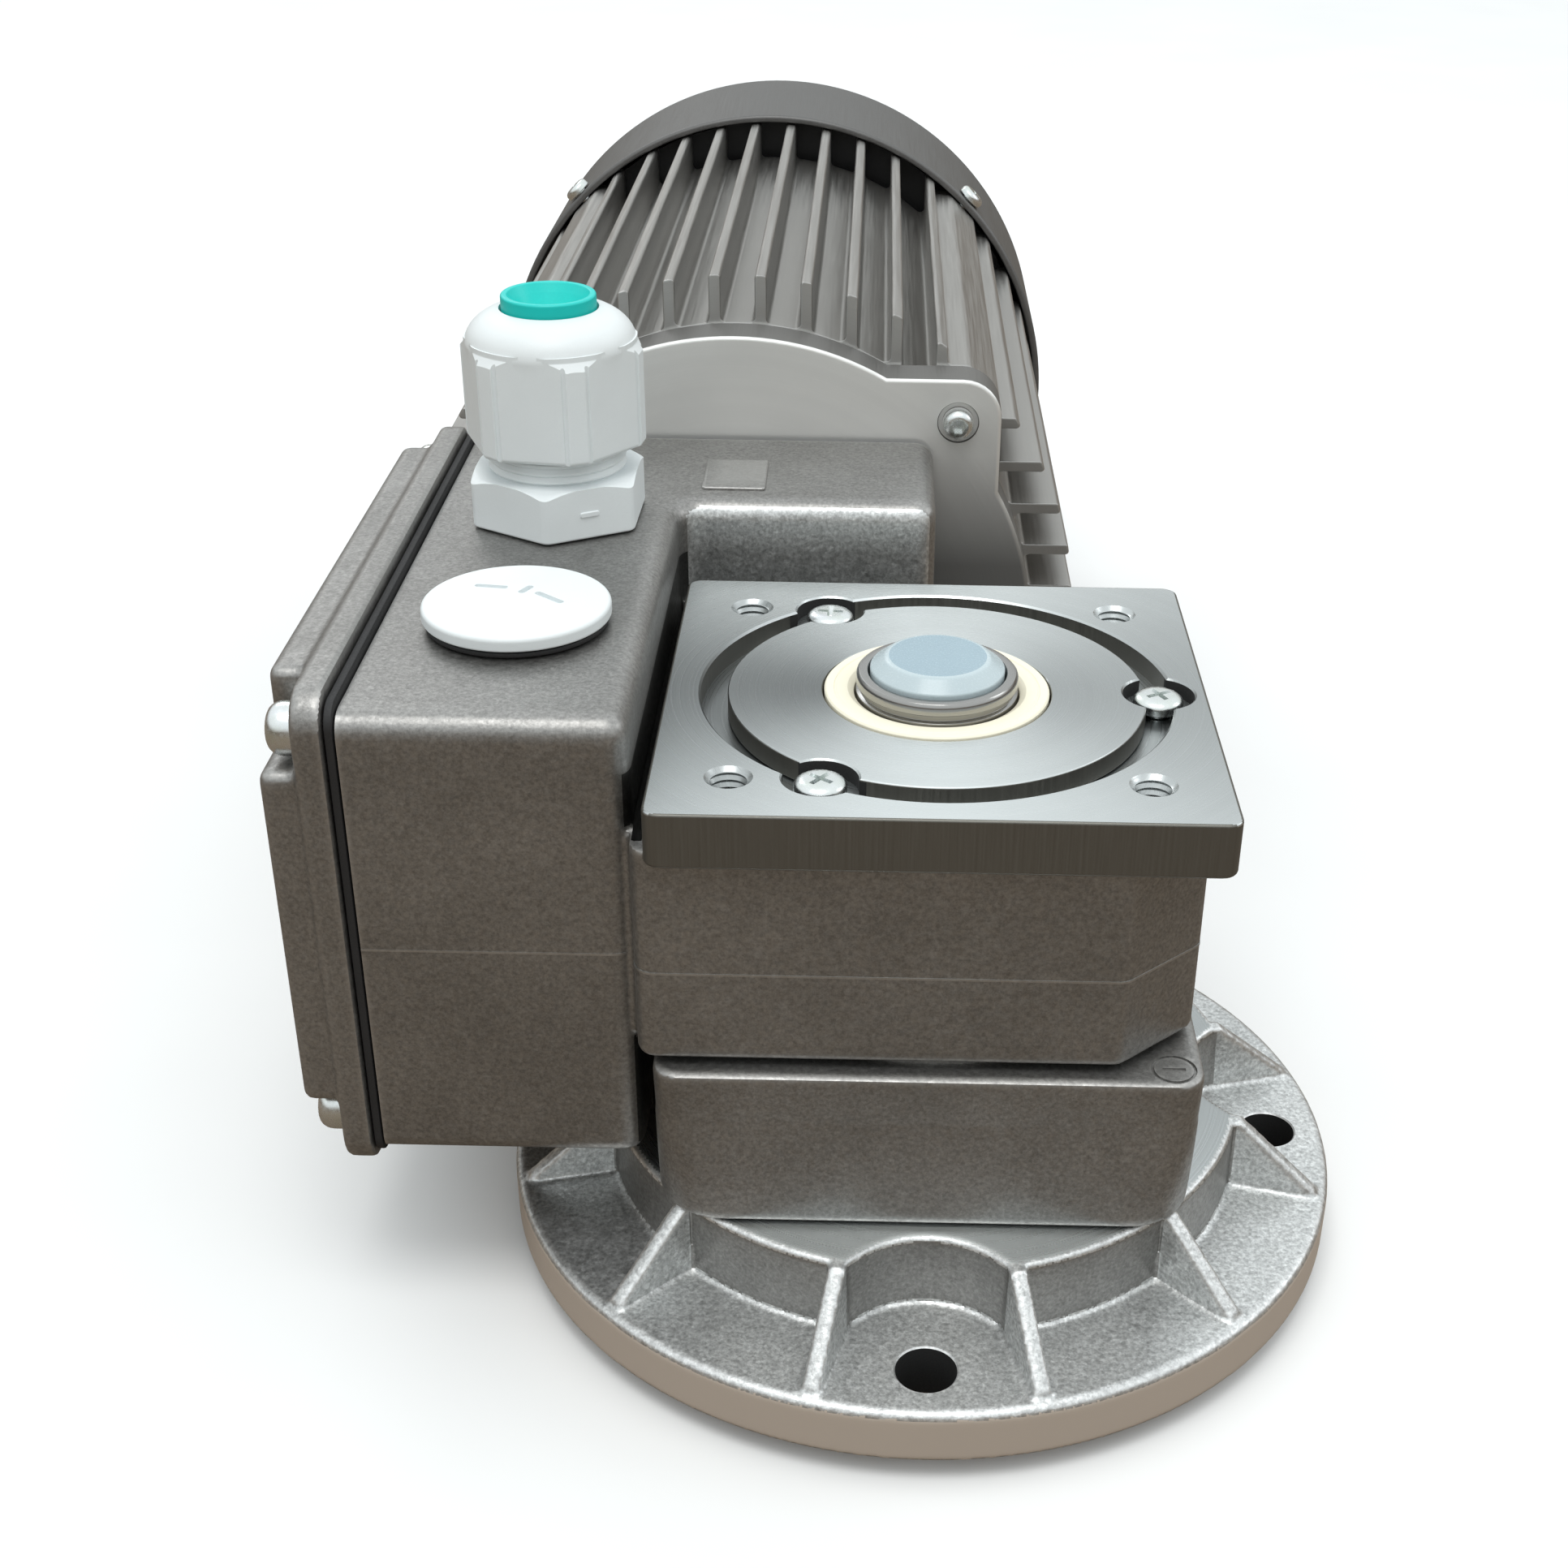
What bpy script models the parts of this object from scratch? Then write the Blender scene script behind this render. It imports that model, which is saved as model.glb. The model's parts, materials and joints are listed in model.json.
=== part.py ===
"""Right-angle worm geared motor with a round output flange.

The frame: Z is the output axis, +Y runs along the motor towards its fan, and z = 0 is the
pilot face below the round flange. All lengths below are millimetres; meshes are in metres.
"""

import math

import bmesh
import bpy

# ---------------------------------------------------------------- driving dimensions, mm
MM = 0.001
GAP = 0.3                    # clearance between pieces that touch
ROUND = 36                   # sides of a large turned surface
HIDDEN_ROUND = 20            # sides of a piece inside
SMALL_ROUND = 10             # sides of a screw or a pin

MOTOR_X = -39.3              # motor axis, which is also the worm's axis
MOTOR_Z = 73.8
WORM_PITCH_R = 9.3
WHEEL_TEETH = 30
MODULE = 2.0

TOP_Z = 104.2                # machined square face
SQUARE_SIDE = 90.0
SQUARE_THICK = 9.4
BLOCK_Z = 57.4               # underside of the gear block
TAPPED_HOLE_AT = 32.6
TAPPED_HOLE_R = 3.2
CLEFT_LOW = 88.0             # floor of the clefts between the square face and the box
LOWER_FOOT_SCALE = (1.0, 1.033)    # the lower block widens along Y towards its foot

BOX_LEFT = -91.3             # gasket face of the terminal box
BOX_FRONT = -36.4
BOX_BACK = 93.7
BOX_INNER_SIDE = -47.5       # right side of the box's long arm
BOX_RIGHT = 0.8              # right end of the box's short arm
BOX_NOTCH_Y = 56.5
BOX_LOW = 33.7
BOX_TOP = 114.9
BOX_WALL = 3.5

FLANGE_R = 75.4
PILOT_R = 55.0
PILOT_HIGH = 4.0
PLATE_TOP = 14.0
HUB_TOP = 27.7
HUB_R = 57.5
BOLT_CIRCLE_R = 65.0
FLANGE_SCREW_R = 38.0        # four screws from below hold the flange to the lower block
BOLT_HOLE_R = 5.05
SCALLOP_R = 15.9
RIB_OUTER_R = 73.2
RIB_BESIDE_HOLE = 14.65      # degrees from a bolt hole to the rib beside it

SHIELD_Y = 94.0              # motor end shield, front face
STATOR_Y = (104.3, 262.0)
CORE_Y = (125.0, 216.0)
REAR_SHIELD_Y = (252.0, 260.0)
STATOR_BORE_R = 60.3
FIN_TIP_R = 71.5
FIN_ROOT_R = 61.9
FIN_OFFSETS = (4.65, 13.9, 23.1, 32.3, 41.6)
FIN_THICK = 2.4
CORNER_SIDE = 53.8           # solid corners of the finned section
CORNER_CUT = 47.4
COWL_R = 73.8
COWL_Y = (255.0, 313.0)
COWL_WALL = 1.8
COWL_SCREW_Y = 258.8
FAN_R = 70.2
FAN_Y = (266.0, 287.0)
MOTOR_SCREW_AT = 45.0        # end shield screws, across and up from the motor axis

SHAFT_R = 13.5               # hollow output shaft, at its ends
SHAFT_Z = (2.0, 107.7)
GLAND_AT = (-68.8, 49.5)
GLAND_BASE_TURN = -35.0      # degrees of one corner of each hexagon
GLAND_NUT_TURN = -77.0
PLUG_AT = (-69.2, 0.0)
THREAD_HOLE_R = 12.9         # clearance of the gland's and the plug's threads

# frames: a location in mm and a rotation, for shapes built along their own Z
WORLD = ((0.0, 0.0, 0.0), (0.0, 0.0, 0.0))
MOTOR = ((MOTOR_X, 0.0, MOTOR_Z), (-math.pi / 2, 0.0, 0.0))      # own Z is +Y, own Y is -Z
COVER = ((BOX_LEFT, 0.0, 0.0), (0.0, -math.pi / 2, 0.0))         # own Z is -X, own X is +Z

FINISHES = {                 # colour, roughness, metallic
    "cast_grey": ((0.32, 0.31, 0.29), 0.55, 0.6),
    "machined": ((0.62, 0.64, 0.64), 0.35, 0.9),
    "bright_steel": ((0.75, 0.76, 0.76), 0.25, 1.0),
    "dark_steel": ((0.16, 0.16, 0.16), 0.35, 0.9),
    "bronze": ((0.60, 0.42, 0.18), 0.35, 0.9),
    "copper": ((0.62, 0.30, 0.16), 0.45, 0.7),
    "lamination": ((0.30, 0.31, 0.33), 0.5, 0.8),
    "seal_cream": ((0.93, 0.89, 0.72), 0.5, 0.0),
    "seal_black": ((0.03, 0.03, 0.03), 0.7, 0.0),
    "plastic_white": ((0.82, 0.85, 0.85), 0.45, 0.0),
    "plastic_teal": ((0.02, 0.50, 0.44), 0.4, 0.0),
    "plastic_pale": ((0.62, 0.70, 0.74), 0.3, 0.0),
    "plastic_black": ((0.05, 0.05, 0.05), 0.5, 0.0),
}


# ---------------------------------------------------------------- modelling helpers
def clear_scene():
    for item in list(bpy.data.objects):
        bpy.data.objects.remove(item, do_unlink=True)


def material(name):
    """The named finish as a Principled material, made once."""
    made = bpy.data.materials.get(name)
    if made:
        return made
    colour, roughness, metallic = FINISHES[name]
    made = bpy.data.materials.new(name)
    made.use_nodes = True
    made.diffuse_color = (*colour, 1.0)
    shader = made.node_tree.nodes["Principled BSDF"]
    shader.inputs["Base Color"].default_value = (*colour, 1.0)
    shader.inputs["Roughness"].default_value = roughness
    shader.inputs["Metallic"].default_value = metallic
    return made


def add_object(name, points, faces, finish, frame):
    """An object from points in mm and faces, with its normals out, in the given frame."""
    mesh = bpy.data.meshes.new(name)
    mesh.from_pydata([[c * MM for c in p] for p in points], [], faces)
    shape = bmesh.new()
    shape.from_mesh(mesh)
    bmesh.ops.recalc_face_normals(shape, faces=shape.faces)
    shape.to_mesh(mesh)
    shape.free()
    mesh.materials.append(material(finish))
    made = bpy.data.objects.new(name, mesh)
    bpy.context.scene.collection.objects.link(made)
    location, rotation = frame
    made.location = [c * MM for c in location]
    made.rotation_euler = rotation
    return made


def prism(name, outline, low, high, finish="cast_grey", frame=WORLD, foot_scale=(1.0, 1.0)):
    """An outline of (x, y) extruded from low to high; its foot can have its own scale."""
    count = len(outline)
    points = [(x * foot_scale[0], y * foot_scale[1], low) for x, y in outline]
    points += [(x, y, high) for x, y in outline]
    faces = [list(range(count)), list(range(count, 2 * count))]
    for i in range(count):
        j = (i + 1) % count
        faces.append([i, j, count + j, count + i])
    return add_object(name, points, faces, finish, frame)


def box(name, low, high, finish="cast_grey", frame=WORLD):
    outline = [(low[0], low[1]), (high[0], low[1]), (high[0], high[1]), (low[0], high[1])]
    return prism(name, outline, low[2], high[2], finish, frame)


def turned(name, profile, finish, frame=WORLD, sides=ROUND):
    """A closed profile of (radius, height) turned about its own Z; radius 0 is on the axis."""
    points = []
    rings = []
    for radius, height in profile:
        if radius < 1e-9:
            rings.append([len(points)])
            points.append((0.0, 0.0, height))
            continue
        rings.append(list(range(len(points), len(points) + sides)))
        for i in range(sides):
            angle = 2 * math.pi * i / sides
            points.append((radius * math.cos(angle), radius * math.sin(angle), height))
    faces = []
    for ring, after in zip(rings, rings[1:] + rings[:1]):
        for i in range(sides):
            j = (i + 1) % sides
            if len(ring) == 1 and len(after) == 1:
                break
            if len(ring) == 1:
                faces.append([ring[0], after[i], after[j]])
            elif len(after) == 1:
                faces.append([ring[i], ring[j], after[0]])
            else:
                faces.append([ring[i], ring[j], after[j], after[i]])
    return add_object(name, points, faces, finish, frame)


def rod(name, radius, low, high, finish="cast_grey", at=(0.0, 0.0), frame=WORLD, sides=SMALL_ROUND):
    """A plain cylinder at a place in the frame's own XY plane."""
    outline = [(at[0] + x, at[1] + y) for x, y in circle(radius, sides, math.pi / sides)]
    return prism(name, outline, low, high, finish, frame)


def ring(name, inner, outer, low, high, finish, frame=WORLD, sides=HIDDEN_ROUND):
    profile = [(inner, low), (outer, low), (outer, high), (inner, high)]
    return turned(name, profile, finish, frame, sides)


def circle(radius, sides, turn=0.0):
    step = 2 * math.pi / sides
    return [(radius * math.cos(turn + i * step), radius * math.sin(turn + i * step)) for i in range(sides)]


def rounded(corners, radius, steps=3):
    """A polygon whose corners are replaced by arcs of the given radius."""
    outline = []
    for i, (x, y) in enumerate(corners):
        before = corners[i - 1]
        after = corners[(i + 1) % len(corners)]
        ax, ay = before[0] - x, before[1] - y
        bx, by = after[0] - x, after[1] - y
        a_long, b_long = math.hypot(ax, ay), math.hypot(bx, by)
        ax, ay, bx, by = ax / a_long, ay / a_long, bx / b_long, by / b_long
        half = math.acos(max(-1.0, min(1.0, ax * bx + ay * by))) / 2
        back = radius / math.tan(half)
        middle = radius / math.sin(half)
        nx, ny = ax + bx, ay + by
        n_long = math.hypot(nx, ny)
        cx, cy = x + nx / n_long * middle, y + ny / n_long * middle
        start = math.atan2(y + ay * back - cy, x + ax * back - cx)
        end = math.atan2(y + by * back - cy, x + bx * back - cx)
        sweep = (end - start + math.pi) % (2 * math.pi) - math.pi
        for k in range(steps + 1):
            angle = start + sweep * k / steps
            outline.append((cx + radius * math.cos(angle), cy + radius * math.sin(angle)))
    return outline


def rectangle(low, high, radius=0.0, steps=3):
    corners = [(low[0], low[1]), (high[0], low[1]), (high[0], high[1]), (low[0], high[1])]
    return rounded(corners, radius, steps) if radius else corners


def bake(target):
    """Replace the object's mesh with its evaluated mesh and drop its modifiers."""
    graph = bpy.context.evaluated_depsgraph_get()
    graph.update()
    made = bpy.data.meshes.new_from_object(target.evaluated_get(graph))
    old = target.data
    target.modifiers.clear()
    target.data = made
    made.name = old.name
    bpy.data.meshes.remove(old)


def combine(target, others, operation):
    """Boolean the others into the target one by one, and remove them."""
    for other in others:
        step = target.modifiers.new(operation.lower(), "BOOLEAN")
        step.operation = operation
        step.solver = "EXACT"
        step.object = other
        bake(target)
        bpy.data.objects.remove(other, do_unlink=True)
    return target


def group(pieces):
    """Pieces that don't touch, as one object that a single Boolean can use."""
    first, others = pieces[0], pieces[1:]
    shape = bmesh.new()
    shape.from_mesh(first.data)
    for other in others:
        mesh = other.data.copy()
        mesh.transform(first.matrix_basis.inverted() @ other.matrix_basis)
        shape.from_mesh(mesh)
        bpy.data.meshes.remove(mesh)
        bpy.data.objects.remove(other, do_unlink=True)
    shape.to_mesh(first.data)
    shape.free()
    return first


def cut(target, *cutters):
    return combine(target, cutters, "DIFFERENCE")


def join(target, *others):
    return combine(target, others, "UNION")


def soften(target, width, segments=2, limit=50.0):
    """Bevel the sharp edges of a casting before it is cut."""
    step = target.modifiers.new("soften", "BEVEL")
    step.width = width * MM
    step.segments = segments
    step.limit_method = "ANGLE"
    step.angle_limit = math.radians(limit)
    bake(target)
    return target


def smooth(target, limit=35.0):
    target.data.shade_smooth()
    target.data.set_sharp_from_angle(angle=math.radians(limit))
    return target


def on_axis(name, frame):
    """An empty on a joint axis, the parent of the pieces that turn about it."""
    empty = bpy.data.objects.new(name, None)
    bpy.context.scene.collection.objects.link(empty)
    empty.location = [c * MM for c in frame[0]]
    return empty


def ride(empty, *pieces):
    """Parent the pieces to the empty and leave them where they are."""
    for piece in pieces:
        piece.parent = empty
        piece.location = [a - b for a, b in zip(piece.location, empty.location)]
        smooth(piece)


def around(radius, degrees):
    angle = math.radians(degrees)
    return (radius * math.cos(angle), radius * math.sin(angle))


# ---------------------------------------------------------------- gear housing and its cover
COVER_SCREW_R = 37.0
COVER_SCREW_ANGLES = (0.0, 120.0, 240.0)
RECESS_R = 39.3
RECESS_FLOOR = 100.2
POCKET_FLOOR = 101.3
POCKET_R = 6.0
CHAMBER_R = 33.0
BEARING_R = 27.5
SEAL_R = 18.75
WIRE_HOLE = (-35.7, 0.0, 7.0)             # across, down and radius, about the motor axis
WALL_X = -57.0                            # wall between the wiring space and the worm
EARTH_SCREW = (WALL_X, 50.0, -12.0)       # x, z and y
EARTH_WALL = ((WALL_X, 0.0, 0.0), (0.0, -math.pi / 2, 0.0))
LID_SCREWS = [(z, y) for z in (38.8, 110.0) for y in (-30.3, 87.5)]


def screw_pockets():
    """The three round pockets that straddle the groove round the bearing cover."""
    return [rod("pocket", POCKET_R, POCKET_FLOOR, TOP_Z + 1, at=around(COVER_SCREW_R, angle), sides=12)
            for angle in COVER_SCREW_ANGLES]


def gear_housing():
    """The upper casting: terminal box, gear block and machined square face."""
    spare = 8.0
    arm = [(BOX_LEFT - spare, BOX_FRONT), (BOX_INNER_SIDE, BOX_FRONT), (BOX_INNER_SIDE, BOX_NOTCH_Y),
           (BOX_RIGHT, BOX_NOTCH_Y), (BOX_RIGHT, BOX_BACK), (BOX_LEFT - spare, BOX_BACK)]
    body = prism("gear_housing", arm, BOX_LOW, BOX_TOP)
    soften(body, 3.0, 1)
    block = [(-60.0, -28.0), (-47.0, -28.0), (-47.0, -41.7), (30.0, -41.7), (43.0, -30.0), (43.0, 46.0),
             (-6.0, 46.0), (-6.0, 62.0), (-60.0, 62.0)]
    square = SQUARE_SIDE / 2
    join(body,
         soften(prism("block", block, BLOCK_Z, TOP_Z - SQUARE_THICK + 0.8), 1.2, 1),
         soften(prism("plate", rectangle((-square, -square), (square, square), 2.5), TOP_Z - SQUARE_THICK,
                      TOP_Z), 0.5, 1))
    cut(body,
        box("trim", (-120.0, -60.0, 0.0), (BOX_LEFT, 120.0, 140.0)),
        *box_cavities(),
        rod("chamber", CHAMBER_R, BLOCK_Z + 3.5, TOP_Z - 2.0, sides=ROUND),
        rod("recess", RECESS_R, RECESS_FLOOR, TOP_Z + 1.0, sides=ROUND),
        rod("floor_hole", 29.3, BLOCK_Z - 2.0, BLOCK_Z + 5.0, sides=HIDDEN_ROUND),
        rod("worm_tunnel", 12.5, -26.0, 80.0, frame=MOTOR, sides=24),
        rod("worm_bearing_seat", 14.4, -34.0, -25.0, frame=MOTOR, sides=HIDDEN_ROUND),
        rod("shaft_seal_seat", 20.4, 66.0, 100.0, frame=MOTOR, sides=HIDDEN_ROUND),
        rod("wire_hole", WIRE_HOLE[2], 88.0, 100.0, at=WIRE_HOLE[:2], frame=MOTOR),
        rod("gland_hole", THREAD_HOLE_R, BOX_TOP - 6.0, BOX_TOP + 2.0, at=GLAND_AT, sides=HIDDEN_ROUND),
        rod("plug_hole", THREAD_HOLE_R, BOX_TOP - 6.0, BOX_TOP + 2.0, at=PLUG_AT, sides=HIDDEN_ROUND),
        *screw_pockets())
    cleft_high = TOP_Z - SQUARE_THICK + 2.0
    cut(body,
        box("side_cleft", (BOX_INNER_SIDE, -38.0, CLEFT_LOW), (-square, 50.0, cleft_high)),
        box("back_cleft", (-square - 0.5, square, CLEFT_LOW), (BOX_RIGHT - 8.0, BOX_NOTCH_Y, cleft_high)))
    for side_x in (-TAPPED_HOLE_AT, TAPPED_HOLE_AT):
        for side_y in (-TAPPED_HOLE_AT, TAPPED_HOLE_AT):
            cut(body, rod("tapped", TAPPED_HOLE_R, TOP_Z - 13.0, TOP_Z + 1.0, at=(side_x, side_y), sides=12))
    for angle in COVER_SCREW_ANGLES:
        cut(body, rod("screw_hole", 2.4, 88.0, TOP_Z, at=around(COVER_SCREW_R, angle)))
    for place in LID_SCREWS:
        cut(body, rod("lid_screw_hole", 2.4, -12.0, 2.0, at=place, frame=COVER))
    cut(body, rod("earth_hole", 2.0, -8.0, 3.0, at=EARTH_SCREW[1:], frame=EARTH_WALL))
    return smooth(body)


def box_cavities():
    """The wiring space: a lower part beside the worm tunnel and a wider part over it."""
    boss = 11.0
    y_low, y_high = BOX_FRONT + BOX_WALL, BOX_BACK - BOX_WALL
    z_low, z_high = BOX_LOW + BOX_WALL, BOX_TOP - BOX_WALL
    outline = [(z_low, y_low + boss), (z_low + boss, y_low + boss), (z_low + boss, y_low),
               (z_high - boss, y_low), (z_high - boss, y_low + boss), (z_high, y_low + boss),
               (z_high, y_high - boss), (z_high - boss, y_high - boss), (z_high - boss, y_high),
               (z_low + boss, y_high), (z_low + boss, y_high - boss), (z_low, y_high - boss)]
    lower = prism("wiring_space", outline, BOX_LEFT - WALL_X, 10.0, frame=COVER)
    upper = box("wiring_top", (-85.0, y_low + boss, 91.0), (-51.2, y_high - boss, z_high))
    return lower, upper


def bearing_cover():
    """The machined disc in the square face; its skirt holds the upper bearing."""
    profile = [(34.8, TOP_Z), (34.8, RECESS_FLOOR + GAP), (CHAMBER_R - GAP, RECESS_FLOOR + GAP),
               (CHAMBER_R - GAP, 84.4), (BEARING_R + GAP, 84.4), (BEARING_R + GAP, 97.8), (16.0, 97.8),
               (16.0, 99.0), (SEAL_R + GAP, 99.0), (SEAL_R + GAP, TOP_Z)]
    return smooth(cut(turned("bearing_cover", profile, "machined"), *screw_pockets()))


def cap_screw(name, head_r, head_high, shank_r, shank_long, frame, at=(0.0, 0.0), seat=0.0):
    """A pan head screw whose head stands up the frame's own Z from the seat."""
    profile = [(0.0, seat - shank_long), (shank_r, seat - shank_long), (shank_r, seat), (head_r, seat),
               (head_r, seat + 0.7 * head_high), (0.75 * head_r, seat + head_high), (0.0, seat + head_high)]
    screw = turned(name, profile, "bright_steel", WORLD, SMALL_ROUND)
    for corner in screw.data.vertices:
        corner.co.x += at[0] * MM
        corner.co.y += at[1] * MM
    screw.location = [c * MM for c in frame[0]]
    screw.rotation_euler = frame[1]
    return smooth(screw)


def cover_disc_screws():
    for i, angle in enumerate(COVER_SCREW_ANGLES):
        cap_screw(f"bearing_cover_screw_{i + 1}", 4.2, 2.4, 2.0, 11.0, WORLD,
                  around(COVER_SCREW_R, angle), POCKET_FLOOR + GAP)


# ---------------------------------------------------------------- lower housing and flange
def lower_housing():
    """The drawer-like lower block, a little wider at its foot, with the lower bearing's seat."""
    outline = rectangle((-45.1, -44.7), (44.1, 44.7), 5.0)
    body = prism("lower_housing", outline, HUB_TOP + GAP, BLOCK_Z - 1.1, foot_scale=LOWER_FOOT_SCALE)
    soften(body, 1.2, 1)
    join(body, rod("boss", 40.0, BLOCK_Z - 3.0, BLOCK_Z - GAP, sides=ROUND))
    cut(body,
        rod("bearing_seat", BEARING_R + GAP, 43.6, BLOCK_Z + 2.0, sides=ROUND),
        rod("shaft_hole", 20.0, HUB_TOP - 2.0, 45.0, sides=HIDDEN_ROUND))
    for i in range(4):
        cut(body, rod("bolt_hole", 3.3, HUB_TOP - 2.0, 42.0, at=around(FLANGE_SCREW_R, 45 + 90 * i)))
    return smooth(body)


def hub_radius(angle):
    """The hub's edge at an angle in degrees: a circle with a scallop about each bolt hole."""
    off = math.radians((angle + 45.0) % 90.0 - 45.0)
    inside = SCALLOP_R ** 2 - (BOLT_CIRCLE_R * math.sin(off)) ** 2
    if inside <= 0.0:
        return HUB_R
    scallop = BOLT_CIRCLE_R * math.cos(off) - math.sqrt(inside)
    blend = 1.0
    low, high = min(HUB_R, scallop), max(HUB_R, scallop)
    return low - blend * math.log(1.0 + math.exp((low - high) / blend))


def output_flange():
    """The round flange: pilot, plate, scalloped hub, ribs and four bolt holes."""
    plate = [(0.0, 0.0), (PILOT_R, 0.0), (PILOT_R, PILOT_HIGH), (FLANGE_R, PILOT_HIGH),
             (FLANGE_R, PLATE_TOP - 0.8), (FLANGE_R - 0.8, PLATE_TOP), (0.0, PLATE_TOP)]
    body = turned("output_flange", plate, "cast_grey", sides=60)
    steps = 72
    outline = [around(hub_radius(360.0 * i / steps), 360.0 * i / steps) for i in range(steps)]
    join(body, prism("hub", outline, PLATE_TOP - 1.0, HUB_TOP))
    join(body, group([rib(quarter * 90.0 + angle) for quarter in range(4)
                      for angle in (-RIB_BESIDE_HOLE, RIB_BESIDE_HOLE, 45.0)]))
    cut(body,
        rod("pilot_recess", 24.0, -1.0, 12.0, sides=HIDDEN_ROUND),
        rod("shaft_hole", 16.5, 10.0, 16.0, sides=HIDDEN_ROUND),
        rod("seal_seat", 19.0 + 2 * GAP, 14.7, HUB_TOP + 1.0, sides=HIDDEN_ROUND))
    for i in range(4):
        cut(body,
            rod("bolt_hole", BOLT_HOLE_R, PILOT_HIGH - 1.0, PLATE_TOP + 1.0,
                at=around(BOLT_CIRCLE_R, 90 * i), sides=20),
            rod("head_hole", 5.6, -1.0, 7.5, at=around(FLANGE_SCREW_R, 45 + 90 * i)),
            rod("shank_hole", 3.3, 6.0, HUB_TOP + 1.0, at=around(FLANGE_SCREW_R, 45 + 90 * i)))
    return smooth(body)


def rib(angle, thick=3.0):
    """A radial rib that runs down from the hub's top edge to the plate."""
    inner, top, out = HUB_R - 4.0, HUB_TOP - 0.4, RIB_OUTER_R
    side = [(inner, PLATE_TOP - 0.6), (out, PLATE_TOP - 0.6), (out, PLATE_TOP + 0.5), (HUB_R + 1.0, top),
            (inner, top)]
    points = []
    for across in (-thick / 2, thick / 2):
        for along, up in side:
            x, y = around(along, angle)
            s, c = math.sin(math.radians(angle)), math.cos(math.radians(angle))
            points.append((x - across * s, y + across * c, up))
    count = len(side)
    faces = [list(range(count)), list(range(count, 2 * count))]
    faces += [[i, (i + 1) % count, count + (i + 1) % count, count + i] for i in range(count)]
    return add_object("rib", points, faces, "cast_grey", WORLD)


def flange_bolts():
    for i in range(4):
        x, y = around(FLANGE_SCREW_R, 45 + 90 * i)
        profile = [(0.0, 40.0), (3.0, 40.0), (3.0, 7.2), (5.0, 7.2), (5.0, 1.5), (0.0, 1.5)]
        bolt = turned(f"flange_bolt_{i + 1}", profile, "dark_steel", sides=SMALL_ROUND)
        bolt.location = (x * MM, y * MM, 0.0)
        smooth(bolt)


# ---------------------------------------------------------------- output side, inside
KEY_WIDE = 6.0
WHEEL_Z = (64.8, 82.8)
WHEEL_SEAT_R = 17.0


def hollow_shaft():
    low, high = SHAFT_Z
    bore, mouth = 10.0, 11.5
    profile = [(mouth, low), (SHAFT_R, low), (SHAFT_R, 43.0), (15.0, 43.0), (15.0, 62.0),
               (WHEEL_SEAT_R, 62.0), (WHEEL_SEAT_R, 84.0), (15.0, 84.0), (15.0, 98.3), (SHAFT_R, 98.3),
               (SHAFT_R, high - 0.6), (SHAFT_R - 0.6, high), (mouth, high), (mouth, high - 6.0),
               (bore, high - 6.0), (bore, low + 6.0), (mouth, low + 6.0)]
    shaft = turned("hollow_shaft", profile, "dark_steel", sides=HIDDEN_ROUND)
    half = KEY_WIDE / 2
    return cut(shaft, box("keyway", (-half, 14.0, WHEEL_Z[0] + 1.0), (half, 18.0, WHEEL_Z[1] - 1.0)))


def worm_wheel():
    """Thirty helical teeth that match the worm's lead, thinned for running clearance."""
    pitch_r = MODULE * WHEEL_TEETH / 2
    tip, root = pitch_r + MODULE, pitch_r - 1.2 * MODULE
    tip_half, root_half = 0.36, 1.9          # half the tooth's thickness at its tip and root
    middle = sum(WHEEL_Z) / 2
    points = []
    for z in WHEEL_Z:
        twist = (z - middle) / (WORM_PITCH_R * pitch_r)
        for tooth in range(WHEEL_TEETH):
            centre = math.pi + (tooth + 0.5) * 2 * math.pi / WHEEL_TEETH + twist
            for radius, across in ((root, -root_half), (tip, -tip_half), (tip, tip_half), (root, root_half)):
                angle = centre + across / radius
                points.append((radius * math.cos(angle), radius * math.sin(angle), z))
    count = len(points) // 2
    faces = [list(range(count)), list(range(count, 2 * count))]
    faces += [[i, (i + 1) % count, count + (i + 1) % count, count + i] for i in range(count)]
    wheel = add_object("worm_wheel", points, faces, "bronze", WORLD)
    half = KEY_WIDE / 2 + GAP
    return cut(wheel,
               rod("bore", WHEEL_SEAT_R + GAP, 60.0, 90.0, sides=HIDDEN_ROUND),
               box("keyway", (-half, 10.0, 60.0), (half, 20.6, 90.0)))


def wheel_key():
    half = KEY_WIDE / 2 - GAP
    return box("wheel_key", (-half, 14.0 + GAP, WHEEL_Z[0] + 1.0 + GAP), (half, 20.3, WHEEL_Z[1] - 1.0 - GAP),
               "bright_steel")


def shaft_caps():
    """The plastic caps that close the hollow shaft: a low dome on top, a flat one below."""
    high, low = SHAFT_Z[1], SHAFT_Z[0]
    top = [(0.0, 108.6), (9.4, 108.6), (9.4, high - 5.0), (11.2, high - 5.0), (11.2, high + 0.6),
           (10.4, high + 1.6), (8.6, 110.3), (0.0, 110.5)]
    foot = [(0.0, 0.4), (12.5, 0.4), (12.5, low - GAP), (11.2, low - GAP), (11.2, low + 5.0), (9.4, low + 5.0),
            (9.4, low + 0.8), (0.0, low + 0.8)]
    return (turned("shaft_cap_top", top, "plastic_pale", sides=HIDDEN_ROUND),
            turned("shaft_cap_bottom", foot, "plastic_pale", sides=HIDDEN_ROUND))


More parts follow.
